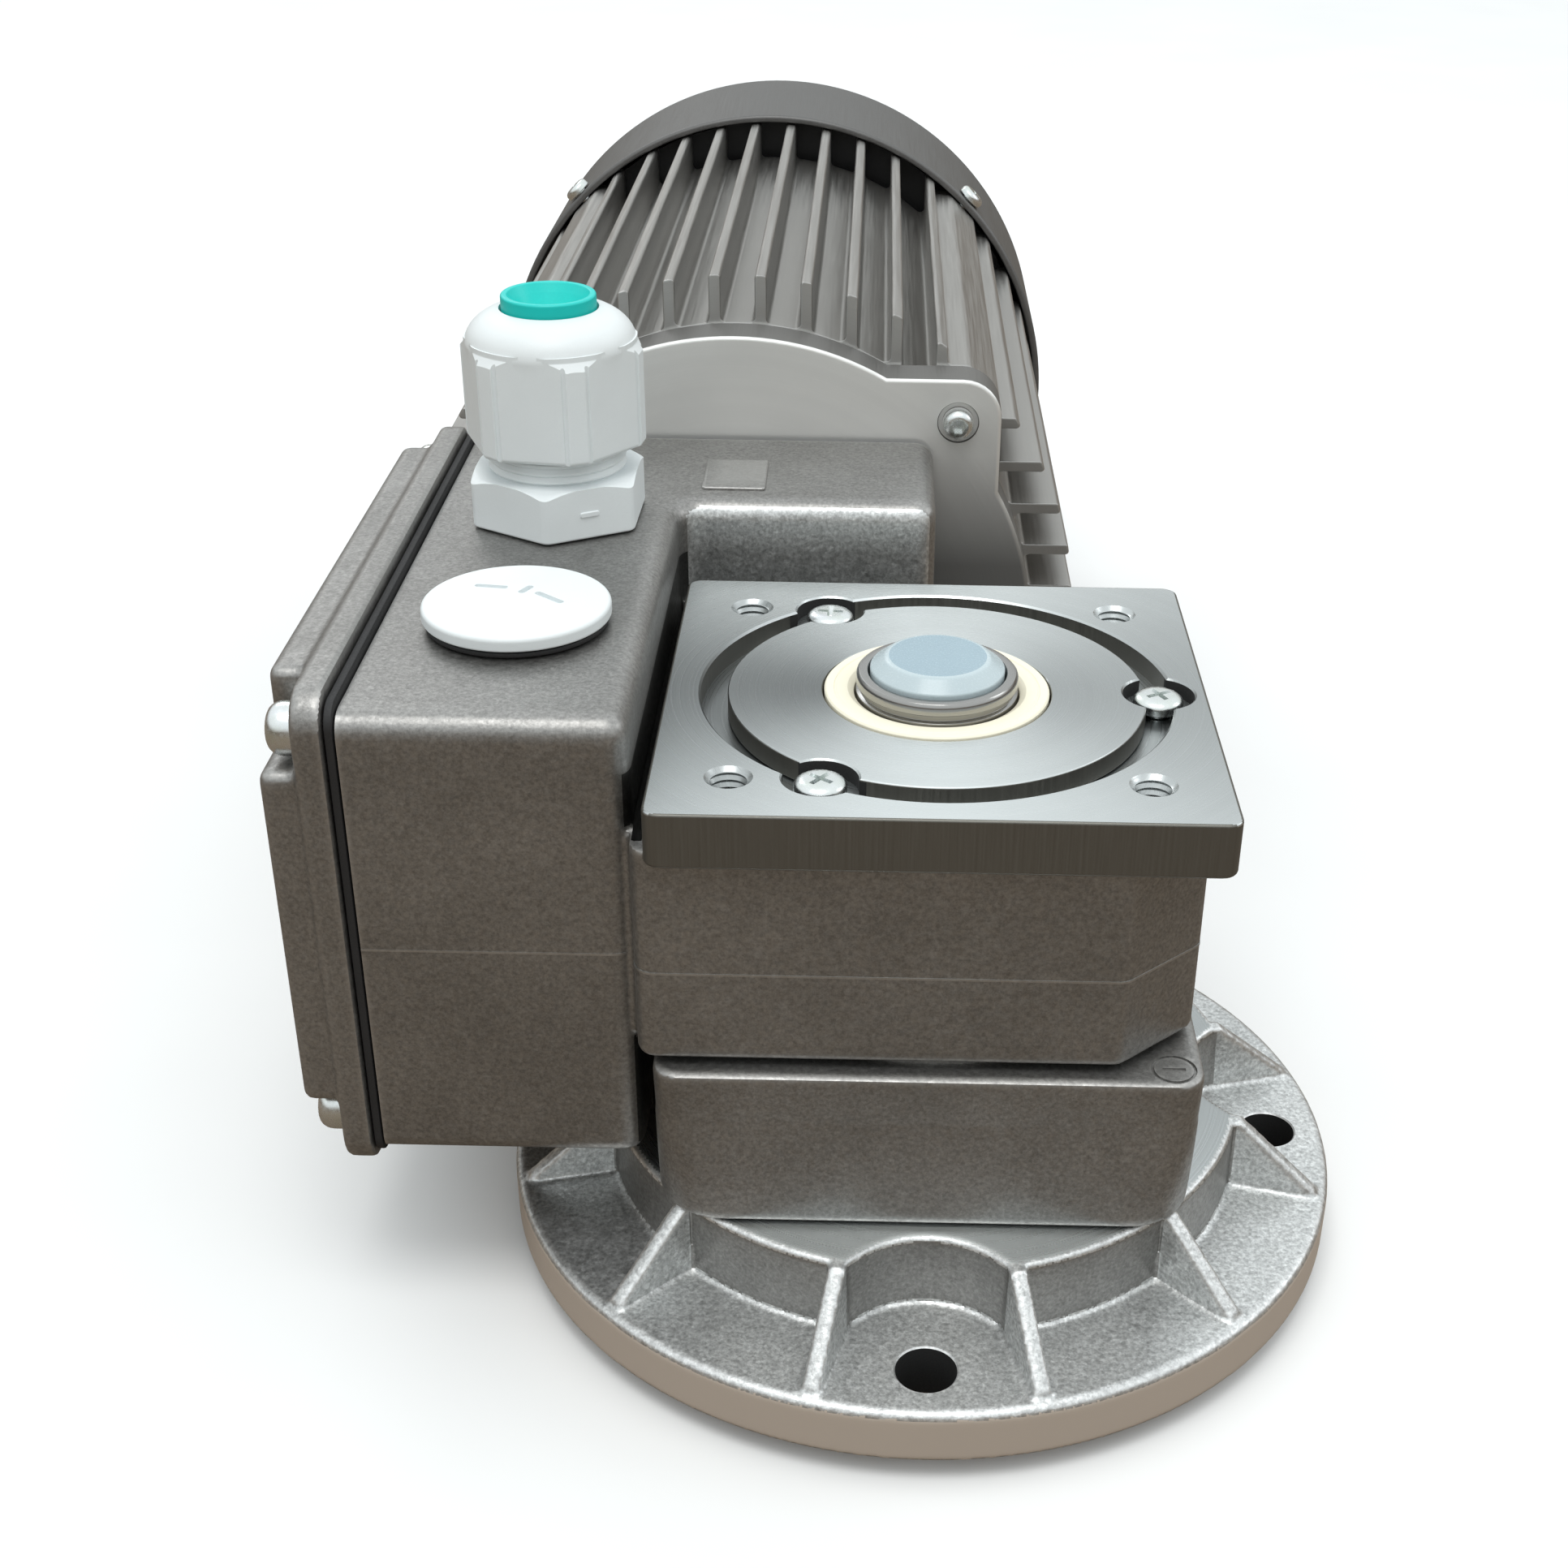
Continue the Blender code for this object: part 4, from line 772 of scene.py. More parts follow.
def all_screws():
    for i, place in enumerate(DISC_SCREWS):
        high = span(f"bearing_cover_screw_{i + 1}")[1]
        spin = Matrix.Translation((place.x, place.y, 0.0)) @ Matrix.Rotation(0.5 + i, 4, "Z")
        pan_screw(f"disc_screw_{i + 1}", f"bearing_cover_screw_{i + 1}", spin, 4.2, high.z - 2.4, 2.4, 2.0,
                  11.0)
    for i, place in enumerate(LID_SCREWS):
        low = span(f"terminal_cover_screw_{i + 1}")[0]
        seat = BOX_LEFT - low.x - 4.4
        spin = COVER @ Matrix.Translation((place.z, place.y, 0.0)) @ Matrix.Rotation(0.3 + i, 4, "Z")
        pan_screw(f"lid_screw_{i + 1}", f"terminal_cover_screw_{i + 1}", spin, 4.3, seat, 4.4, 2.0, 16.0)
    for i in range(4):
        low, high = span(f"end_shield_screw_{i + 1}")
        middle = (low + high) / 2
        spin = Matrix.Translation((middle.x, high.y - 26.0, middle.z)) @ Matrix.Rotation(math.pi / 2, 4, "X")
        pan_screw(f"shield_screw_{i + 1}", f"end_shield_screw_{i + 1}", spin, 3.0, 0.0, 2.6, 2.0, 26.0,
                  hexed=True)
        pan_screw(f"cowl_screw_{i + 1}", f"fan_cowl_screw_{i + 1}", cowl_screw_places()[i], 3.4, COWL_R + 0.3,
                  2.2, 1.7, 10.0)
    for i in range(4):
        low, high = span(f"flange_bolt_{i + 1}")
        middle = (low + high) / 2
        flip = Matrix.Translation((middle.x, middle.y, 0.0)) @ Matrix.Rotation(math.pi, 4, "X")
        pan_screw(f"flange_cap_bolt_{i + 1}", f"flange_bolt_{i + 1}", flip, 5.0, -7.2, 5.7, 3.0, 32.8,
                  BLACKED, True)


# ---------------------------------------------------------------- lower casting and flange
def lower_casting():
    """The lower block: a straight band, then a front and back that lean out to a rounder foot."""
    low, high, band = LOWER_LOW.z, 56.3, 46.5
    lean, corner_r, foot_r = 1.033, 4.5, 11.0
    rings = []
    for z, amount in ((low, 0.7), (low + 0.2, 0.3), (low + 0.7, 0.0), (low + 4.0, 0.0), (low + 8.0, 0.0),
                      (low + 13.0, 0.0), (band, 0.0), (band + 0.3, 0.12), (high - 1.0, 0.0),
                      (high - 0.6, 0.08), (high - 0.3, 0.3), (high - 0.08, 0.62), (high, 1.0)):
        down = (high - z) / (high - low)
        scale = (1.0 + (lean - 1.0) * max(0.0, (band - z) / (band - low))) / lean
        radius = corner_r + (foot_r - corner_r) * down ** 1.8
        outline = rectangle((LOWER_LOW.x, LOWER_LOW.y * scale), (LOWER_HIGH.x, LOWER_HIGH.y * scale),
                            radius, 8)
        rings.append([(x, y, z) for x, y in inset(outline, amount)])
    body = loft("lower_casting", rings)
    cast(body, 0.6, 1)
    mark = (39.1, -40.1)
    join(body, turned("boss", rounded([(0.0, high - 3.0), (40.0, high - 3.0), (40.0, LOWER_HIGH.z),
                                       (0.0, LOWER_HIGH.z)], (0.0, 0.0, 0.3, 0.0), 2), sides=96))
    cut(body,
        turned("mark", [(3.2, high - 0.35), (3.75, high - 0.35), (3.75, high + 1.0), (3.2, high + 1.0)],
               at=mark, sides=48),
        prism("mark_bar", rectangle((mark[0] - 1.9, mark[1] - 0.35), (mark[0] + 1.9, mark[1] + 0.35)),
              high - 0.3, high + 1.0),
        rod("bearing_seat", 27.8, 43.6, BLOCK_Z + 2.0, sides=96),
        rod("shaft_hole", 20.0, low - 2.0, 45.0))
    for i in range(4):
        cut(body, rod("bolt_hole", 3.3, low - 2.0, 42.0, at=around(FLANGE_SCREW_R, 45 + 90 * i)))
    return finish_piece(body, "housing", ["lower_housing"], (CAST,))


PILOT_R = 55.0
PILOT_HIGH = 4.0
PLATE_TOP = 14.0
HUB_R = 57.5
BOLT_CIRCLE_R = 65.0
BOLT_HOLE_R = 5.05
SCALLOP_R = 15.9
FLANGE_SCREW_R = 38.0                 # circle of the screws that hold the flange on from below
RIB_OUTER_R = 73.2
RIB_BESIDE_HOLE = 14.65


def hub_radius(angle):
    """The hub's edge at an angle in degrees: a circle with a scallop about each bolt hole."""
    off = math.radians((angle + 45.0) % 90.0 - 45.0)
    inside = SCALLOP_R ** 2 - (BOLT_CIRCLE_R * math.sin(off)) ** 2
    if inside <= 0.0:
        return HUB_R
    scallop = BOLT_CIRCLE_R * math.cos(off) - math.sqrt(inside)
    blend = 0.8
    low, high = min(HUB_R, scallop), max(HUB_R, scallop)
    return low - blend * math.log(1.0 + math.exp((low - high) / blend))


def rib(angle, thick=3.0):
    """A radial rib that runs down from the hub's top edge to the plate, with a round back."""
    inner, top, out = HUB_R - 5.0, FLANGE_HIGH.z - 0.5, RIB_OUTER_R
    side = [(inner, PLATE_TOP - 1.5), (out + 0.6, PLATE_TOP - 1.5), (out, PLATE_TOP + 0.6),
            (HUB_R + 1.0, top), (inner, top)]
    s, c = math.sin(math.radians(angle)), math.cos(math.radians(angle))
    rings = []
    for across, drop in ((-0.62, 0.0), (-0.5, 0.0), (-0.38, 0.35), (0.38, 0.35), (0.5, 0.0), (0.62, 0.0)):
        ring = []
        for i, (along, up) in enumerate(side):
            lean = 1.0 if i < 2 else 0.8
            rise = drop if i >= 2 else 0.0
            x, y = around(along, angle)
            shift = across * thick * lean
            ring.append((x - shift * s, y + shift * c, up + rise))
        rings.append(ring)
    return loft("rib", rings)


def round_flange():
    """The round flange: pilot, plate, scalloped hub, ribs and four bolt holes."""
    radius, top = FLANGE_HIGH.x, PLATE_TOP
    plate = rounded([(0.0, 0.0), (PILOT_R, 0.0), (PILOT_R, PILOT_HIGH), (radius, PILOT_HIGH), (radius, top),
                     (0.0, top)], (0.0, 0.5, 0.0, 0.8, 1.5, 0.0), 4)
    body = turned("round_flange", plate, sides=180)
    steps = 240
    outline = [around(hub_radius(360.0 * i / steps), 360.0 * i / steps) for i in range(steps)]
    join(body, prism("hub", outline, PLATE_TOP - 1.0, FLANGE_HIGH.z, 0.0, 1.0))
    for quarter in range(4):
        for angle in (-RIB_BESIDE_HOLE, RIB_BESIDE_HOLE, 45.0):
            join(body, rib(quarter * 90.0 + angle))
    cast(body, 0.5, 2)
    cut(body,
        rod("face", 90.0, -3.0, 0.0, sides=24),
        rod("pilot_recess", 24.0, -1.0, 12.0, sides=72),
        rod("shaft_hole", 16.5, 10.0, 16.0, sides=72),
        rod("seal_seat", 19.6, 14.7, FLANGE_HIGH.z + 1.0, sides=72))
    for i in range(4):
        at = around(BOLT_CIRCLE_R, 90 * i)
        cut(body,
            rod("bolt_hole", BOLT_HOLE_R, PILOT_HIGH - 1.0, PLATE_TOP, at=at, sides=64, chamfer=0.25),
            rod("head_hole", 5.6, -1.0, 7.5, at=around(FLANGE_SCREW_R, 45 + 90 * i)),
            rod("shank_hole", 3.3, 6.0, FLANGE_HIGH.z + 1.0, at=around(FLANGE_SCREW_R, 45 + 90 * i)))

    def choose(centre, normal):
        radial = math.hypot(centre.x, centre.y)
        on_rim = radial > radius - 0.6 and abs(normal.z) < 0.3
        below = normal.z < -0.6 and centre.z < PILOT_HIGH + 0.4
        spigot = abs(radial - PILOT_R) < 0.5 and centre.z < PILOT_HIGH + 0.2
        if on_rim or below or spigot:
            return 1
        if normal.z > 0.9 and centre.z > FLANGE_HIGH.z - 0.1 and radial < HUB_R - 1.0:
            return 2
        in_hole = max(abs(centre.x), abs(centre.y)) > BOLT_CIRCLE_R - BOLT_HOLE_R - 0.1 and \
            min(abs(centre.x), abs(centre.y)) < BOLT_HOLE_R and \
            abs(math.hypot(max(abs(centre.x), abs(centre.y)) - BOLT_CIRCLE_R,
                           min(abs(centre.x), abs(centre.y))) - BOLT_HOLE_R) < 0.1
        # Painted shade: the bolt holes' walls go near-black.
        if in_hole and abs(normal.z) < 0.3:
            return 3
        return 4 if radial < HUB_R + 0.5 and abs(normal.z) < 0.3 else 0

    return finish_piece(body, "housing", ["output_flange"],
                        (CAST_FLANGE, RIM, FACED, PAINTED_SHADE_BLACK, CAST), choose=choose)


# ---------------------------------------------------------------- output shaft, seal and cap
def output_end():
    """Shaft, its seal and the plastic caps at both of its ends."""
    low, high = SHAFT_LOW.z, SHAFT_HIGH.z
    tip, bore, mouth = 13.5, 10.0, 11.5
    corners = [(mouth, low), (tip, low), (tip, 43.0), (15.0, 43.0), (15.0, 62.0), (17.0, 62.0), (17.0, 84.0),
               (15.0, 84.0), (15.0, 98.3), (tip, 98.3), (tip, high - 3.4), (tip - 0.6, high - 3.1),
               (tip - 0.6, high - 2.3), (tip, high - 2.0), (tip, high), (mouth, high), (mouth, high - 6.0),
               (bore, high - 6.0), (bore, low + 6.0), (mouth, low + 6.0)]
    radii = [0.3, 0.6] + [0.2] * 8 + [0.1] * 4 + [0.9, 0.3] + [0.0] * 4
    shaft = turned("drive_shaft", rounded(corners, radii, 3), sides=96)
    cut(shaft, prism("keyway", rectangle((-3.0, 14.0), (3.0, 18.0)), 65.8, 81.8))
    finish_piece(shaft, "output", ["hollow_shaft"], (STEEL,), 30.0)

    top = TOP_Z + 0.4
    seal = turned("shaft_lip_seal", rounded(
        [(13.8, 99.3), (18.75, 99.3), (18.75, top - 0.3), (18.45, top), (17.2, top), (17.0, top - 0.3),
         (16.7, top), (14.9, top - 0.1), (13.8, top - 0.8)],
        (0.0, 0.2, 0.1, 0.1, 0.1, 0.1, 0.1, 0.3, 0.3), 3), sides=128)
    finish_piece(seal, "housing", ["shaft_seal_top"], (CREAM,), 40.0)

    crown = span("shaft_cap_top")[1].z
    profile = rounded([(0.0, high + 0.1), (9.4, high + 0.1), (9.4, high - 5.0), (11.2, high - 5.0),
                       (11.2, high + 0.6), (8.6, crown - 0.2), (0.0, crown)],
                      (0.0, 0.0, 0.0, 0.3, 0.5, 1.5, 0.0), 4)
    cap = turned("shaft_top_cap", profile, sides=96)

    def choose(centre, normal):
        # Painted highlight: the cap's outer ring, beyond 8 mm, takes the lighter copy.
        return 0 if math.hypot(centre.x, centre.y) < 8.0 else 1

    finish_piece(cap, "output", ["shaft_cap_top"], (PALE, PALE_PAINTED_HIGHLIGHT), 50.0, choose)

    foot = span("shaft_cap_bottom")[0].z
    profile = rounded([(0.0, foot), (12.5, foot), (12.5, low - 0.3), (11.2, low - 0.3), (11.2, low + 5.0),
                       (9.4, low + 5.0), (9.4, low + 0.8), (0.0, low + 0.8)],
                      (0.0, 0.6, 0.3, 0.0, 0.4, 0.3, 0.0, 0.0), 3)
    cap = turned("shaft_bottom_cap", profile, sides=96)
    finish_piece(cap, "output", ["shaft_cap_bottom"], (PALE,), 50.0)


# ---------------------------------------------------------------- motor
SHIELD_SIDE = 53.8
SHIELD_SCREW_AT = 45.0
STATOR_BORE_R = 60.3
FIN_TIP_R = 71.5
FIN_ROOT_R = 61.9
FIN_OFFSETS = (4.65, 13.9, 23.1, 32.3, 41.6)
FIN_THICK = 2.4
CORNER_CUT = 47.4
COWL_R = 73.8
COWL_WALL = 1.8


def shield_outline(steps=24):
    """A square with round corners and a circle, whichever reaches further, as one outline."""
    corner, radius = 8.0, 61.8
    reach = SHIELD_SIDE - corner
    meet = math.acos(SHIELD_SIDE / radius)
    outline = []
    for quarter in range(4):
        base = quarter * math.pi / 2
        for k in range(steps + 1):
            angle = base - meet + 2 * meet * k / steps
            outline.append((radius * math.cos(angle), radius * math.sin(angle)))
        for k in range(9):
            angle = base + math.pi / 16 * k
            c, s = math.cos(base + math.pi / 4), math.sin(base + math.pi / 4)
            cx, cy = reach * math.sqrt(2) * c, reach * math.sqrt(2) * s
            outline.append((cx + corner * math.cos(angle), cy + corner * math.sin(angle)))
    return outline


def end_shield():
    front, back = SHIELD_LOW.y, 104.0
    body = prism("end_shield", shield_outline(), front, back, 0.9, 0.6, place=MOTOR)
    join(body, rod("boss", 30.0, back - 1.0, SHIELD_HIGH.y, place=MOTOR, sides=72))
    cut(body,
        rod("bearing_seat", 23.8, 98.3, 120.0, place=MOTOR, sides=72),
        rod("shaft_hole", 14.0, 90.0, 100.0, place=MOTOR),
        rod("wire_hole", WIRE_HOLE_R, 90.0, 110.0, at=WIRE_HOLE, place=MOTOR))
    counterbore = [(0.0, front - 2.0), (5.2, front - 2.0), (4.1, front + 0.3), (4.1, front + 0.6),
                   (3.2, front + 0.6), (3.2, front + 0.02), (0.0, front + 0.02)]
    for x in (-SHIELD_SCREW_AT, SHIELD_SCREW_AT):
        for y in (-SHIELD_SCREW_AT, SHIELD_SCREW_AT):
            cut(body,
                rod("screw_hole", SCREW_HOLE_R, 90.0, 110.0, at=(x, y), place=MOTOR),
                turned("counterbore", counterbore, MOTOR, 48, (x, y)))

    def choose(centre, normal):
        # Partly painted shade: the outline sides take the much darker finish.
        return 0 if abs(normal.y) > 0.5 else 1

    return finish_piece(body, "housing", ["motor_end_shield"], (FACED_MOTOR, SHIELD_EDGE),
                        30.0, choose)


def stator_side():
    """One side of the finned section as (across, up), with round tips and roots."""
    half = FIN_THICK / 2
    points, radii = [(CORNER_CUT, SHIELD_SIDE), (FIN_OFFSETS[-1] + half, SHIELD_SIDE)], [2.4, 1.0]
    for offset in list(reversed(FIN_OFFSETS)) + [-f for f in FIN_OFFSETS]:
        for across, reach in ((half, FIN_ROOT_R), (half, FIN_TIP_R), (-half, FIN_TIP_R), (-half, FIN_ROOT_R)):
            points.append((offset + across, math.sqrt(reach ** 2 - (offset + across) ** 2)))
            radii.append(0.75 if reach == FIN_TIP_R else 1.1)
    points.append((-FIN_OFFSETS[-1] - half, SHIELD_SIDE))
    radii.append(1.0)
    for index in (-2, 2):
        del points[index], radii[index]
    return points + [(-CORNER_CUT, SHIELD_SIDE)], radii + [2.4]


def finned_stator():
    """The extrusion with its fins, four equal sides, and its sawn ends."""
    corners, radii = [], []
    for quarter in range(4):
        c, s = math.cos(quarter * math.pi / 2), math.sin(quarter * math.pi / 2)
        side, curves = stator_side()
        corners += [(x * c - y * s, x * s + y * c) for x, y in side]
        radii += curves
    outline = rounded(corners, radii, 4)
    area = sum(ax * by - bx * ay for (ax, ay), (bx, by) in zip(outline, outline[1:] + outline[:1]))
    if area < 0:
        outline.reverse()
    low, high = STATOR_LOW.y, STATOR_HIGH.y
    body = prism("finned_stator", outline, low, high, 0.45, 0.3, place=MOTOR, steps=2)
    cut(body, rod("bore", STATOR_BORE_R, low - 9.0, high + 9.0, place=MOTOR, sides=144))
    for x in (-SHIELD_SCREW_AT, SHIELD_SCREW_AT):
        for y in (-SHIELD_SCREW_AT, SHIELD_SCREW_AT):
            cut(body, rod("screw_hole", SCREW_HOLE_R, 100.0, 124.0, at=(x, y), place=MOTOR))

    for radial in cowl_screw_places():
        join(body, rod("lug", 3.6, 60.8, 71.3, place=radial, sides=32))
        cut(body, rod("lug_hole", 2.1, 60.0, 80.0, place=radial, sides=32))

    def choose(centre, normal):
        return 1 if abs(normal.y) > 0.5 else 0

    return finish_piece(body, "housing", ["stator_housing"], (EXTRUDED, SAWN), 30.0, choose)


def cowl_screw_places():
    """Frames on the motor axis whose own Z points out through each cowl screw."""
    places = []
    for i in range(4):
        low, high = span(f"fan_cowl_screw_{i + 1}")
        middle = (low + high) / 2
        angle = math.atan2(middle.z - MOTOR_Z, middle.x - MOTOR_X)
        places.append(Matrix.Translation((MOTOR_X, middle.y, MOTOR_Z))
                      @ Matrix.Rotation(math.pi / 2 - angle, 4, "Y"))
    return places


def slot_cutter(inside, outside, start, low, high):
    """A curved slot through most of a quarter turn, leaving a spoke at each end."""
    margin = math.degrees(3.5 / inside)
    sweep = 90.0 - 2 * margin
    corners = [around(outside, start + margin + sweep * k / 14) for k in range(15)]
    corners += [around(inside, start + margin + sweep * k / 14) for k in reversed(range(15))]
    radii = [0.0] * len(corners)
    for i in (0, 14, 15, 29):
        radii[i] = 2.2
    return prism("slot", rounded(corners, radii, 3), low, high, place=MOTOR)


def pressed_cowl():
    """The sheet cowl over the fan: rolled front rim, rounded rear edge and a grille."""
    low, high = COWL_LOW.y, COWL_HIGH.y
    inner = COWL_R - COWL_WALL
    profile = rounded([(inner, low), (COWL_R, low), (COWL_R, high), (0.0, high), (0.0, high - COWL_WALL),
                       (inner, high - COWL_WALL)], (0.5, 0.9, 8.0, 0.0, 0.0, 6.2), 8)
    body = turned("pressed_cowl", profile, MOTOR, 160)
    for inside in (20.0, 35.0, 50.0):
        for quarter in range(4):
            cut(body, slot_cutter(inside, inside + 8.0, 90.0 * quarter, high - 6.0, high + 1.0))
    for radial in cowl_screw_places():
        cut(body, rod("screw_hole", 2.1, 66.0, 80.0, place=radial))

    def choose(centre, normal):
        radial = math.hypot(centre.x - MOTOR_X, centre.z - MOTOR_Z)
        # Painted shade: the cowl's inner faces go near-black.
        inside = radial < inner + 0.3 and centre.y < high - 0.5
        return 1 if inside and centre.y > low + 0.6 else 0

    return finish_piece(body, "housing", ["fan_cowl"], (PRESSED, PAINTED_SHADE_BLACK), 30.0, choose)


# ---------------------------------------------------------------- terminal box cover and fittings
def lid():
    """The side cover: a base plate, a raised panel and notched corners for the screws."""
    z_low, z_high, y_low, y_high = LID_LOW.z, LID_HIGH.z, LID_LOW.y, LID_HIGH.y
    low, high = BOX_LEFT - LID_HIGH.x, BOX_LEFT - LID_LOW.x
    base_high = 6.9
    body = prism("box_lid", rectangle((z_low, y_low), (z_high, y_high), 6.5, 8), low, base_high, 0.6, 1.2,
                 place=COVER)
    edge, notch = 1.2, 12.0
    a, b, c, d = z_low + edge, z_high - edge, y_low + edge, y_high - edge
    outline = [(a, c + notch), (a + notch, c + notch), (a + notch, c), (b - notch, c), (b - notch, c + notch),
               (b, c + notch), (b, d - notch), (b - notch, d - notch), (b - notch, d), (a + notch, d),
               (a + notch, d - notch), (a, d - notch)]
    radii = [2.0, 2.6, 2.0] * 4
    join(body, prism("panel", rounded(outline, radii, 6), base_high - 0.5, high, 0.0, 1.8, place=COVER))
    cast(body, 0.6, 1)
    hollow = [(a + 8.0, c + notch + 4.0), (b - 8.0, c + notch + 4.0), (b - 8.0, d - notch - 4.0),
              (a + 8.0, d - notch - 4.0)]
    cut(body, prism("hollow", hollow, low - 1.0, 9.9, place=COVER))
    for place in LID_SCREWS:
        cut(body, rod("screw_hole", SCREW_HOLE_R, 0.0, 12.0, at=(place.z, place.y), place=COVER))
    return finish_piece(body, "housing", ["terminal_cover"], (CAST,))


def gasket():
    low, high = span("cover_gasket")
    outline = rectangle((low.z, low.y), (high.z, high.y), 4.0, 6)
    body = prism("lid_gasket", outline, BOX_LEFT - high.x, BOX_LEFT - low.x, 0.3, 0.3, place=COVER, steps=2)
    margin = 14.5
    inner = rectangle((low.z + margin, low.y + margin), (high.z - margin, high.y - margin), 3.0)
    cut(body, prism("opening", inner, -1.0, 3.0, place=COVER))
    for place in LID_SCREWS:
        cut(body, rod("screw_hole", SCREW_HOLE_R, -1.0, 3.0, at=(place.z, place.y), place=COVER))
    return finish_piece(body, "housing", ["cover_gasket"], (RUBBER,), 30.0)


def plug():
    """The blanking plug: a flat head with a coin slot and small ridges, over its O-ring."""
    low, high = PLUG_LOW.z, PLUG_HIGH.z
    head_r, under = 15.5, 116.4
    profile = rounded([(0.0, high), (head_r, high), (head_r, under), (12.6, under), (12.6, low), (10.8, low),
                       (10.8, 115.6), (0.0, 115.6)], (0.0, 0.8, 0.4, 0.0, 0.5, 0.0, 0.0, 0.0), 5)
    body = turned("round_plug", profile, sides=128, at=(PLUG.x, PLUG.y))
    for x, y, turn, long in ((-5.0, 5.6, -7.0, 5.6), (0.9, 4.6, 62.0, 3.4), (5.2, 1.4, -40.0, 6.4)):
        along = (Matrix.Translation((PLUG.x + x, PLUG.y + y, 0.0))
                 @ Matrix.Rotation(math.radians(turn), 4, "Z"))
        cut(body, prism("slot", rectangle((-long / 2, -0.6), (long / 2, 0.6), 0.5, 4), high - 1.2, high + 1.0,
                        place=along))
    finish_piece(body, "housing", ["blanking_plug"], (WHITE,), 35.0)
    low, high = span("plug_o_ring")
    profile = rounded([(12.9, low.z), (15.0, low.z), (15.0, high.z), (12.9, high.z)], 0.35, 3)
    ring = turned("plug_ring", profile, sides=96, at=(PLUG.x, PLUG.y))
    finish_piece(ring, "housing", ["plug_o_ring"], (RUBBER,), 50.0)


def hexagon(across_flats, turn, flat=0.0):
    """A hexagon whose corners are cut by a narrow flat, with fine corner rounding."""
    corner_r = across_flats / math.sqrt(3.0)
    corners = []
    for i in range(6):
        point = Vector(around(corner_r, turn + 60 * i))
        for side in (-1, 1):
            along = Vector(around(corner_r, turn + 60 * (i + side))) - point
            corners.append(tuple(point + along.normalized() * flat / 2) if flat else tuple(point))
        if not flat:
            corners.pop()
    return corners


BASE_TURN, NUT_TURN = -31.0, -67.5     # degrees of a corner of each hexagon
BASE_ACROSS, NUT_ACROSS = 29.4, 29.8


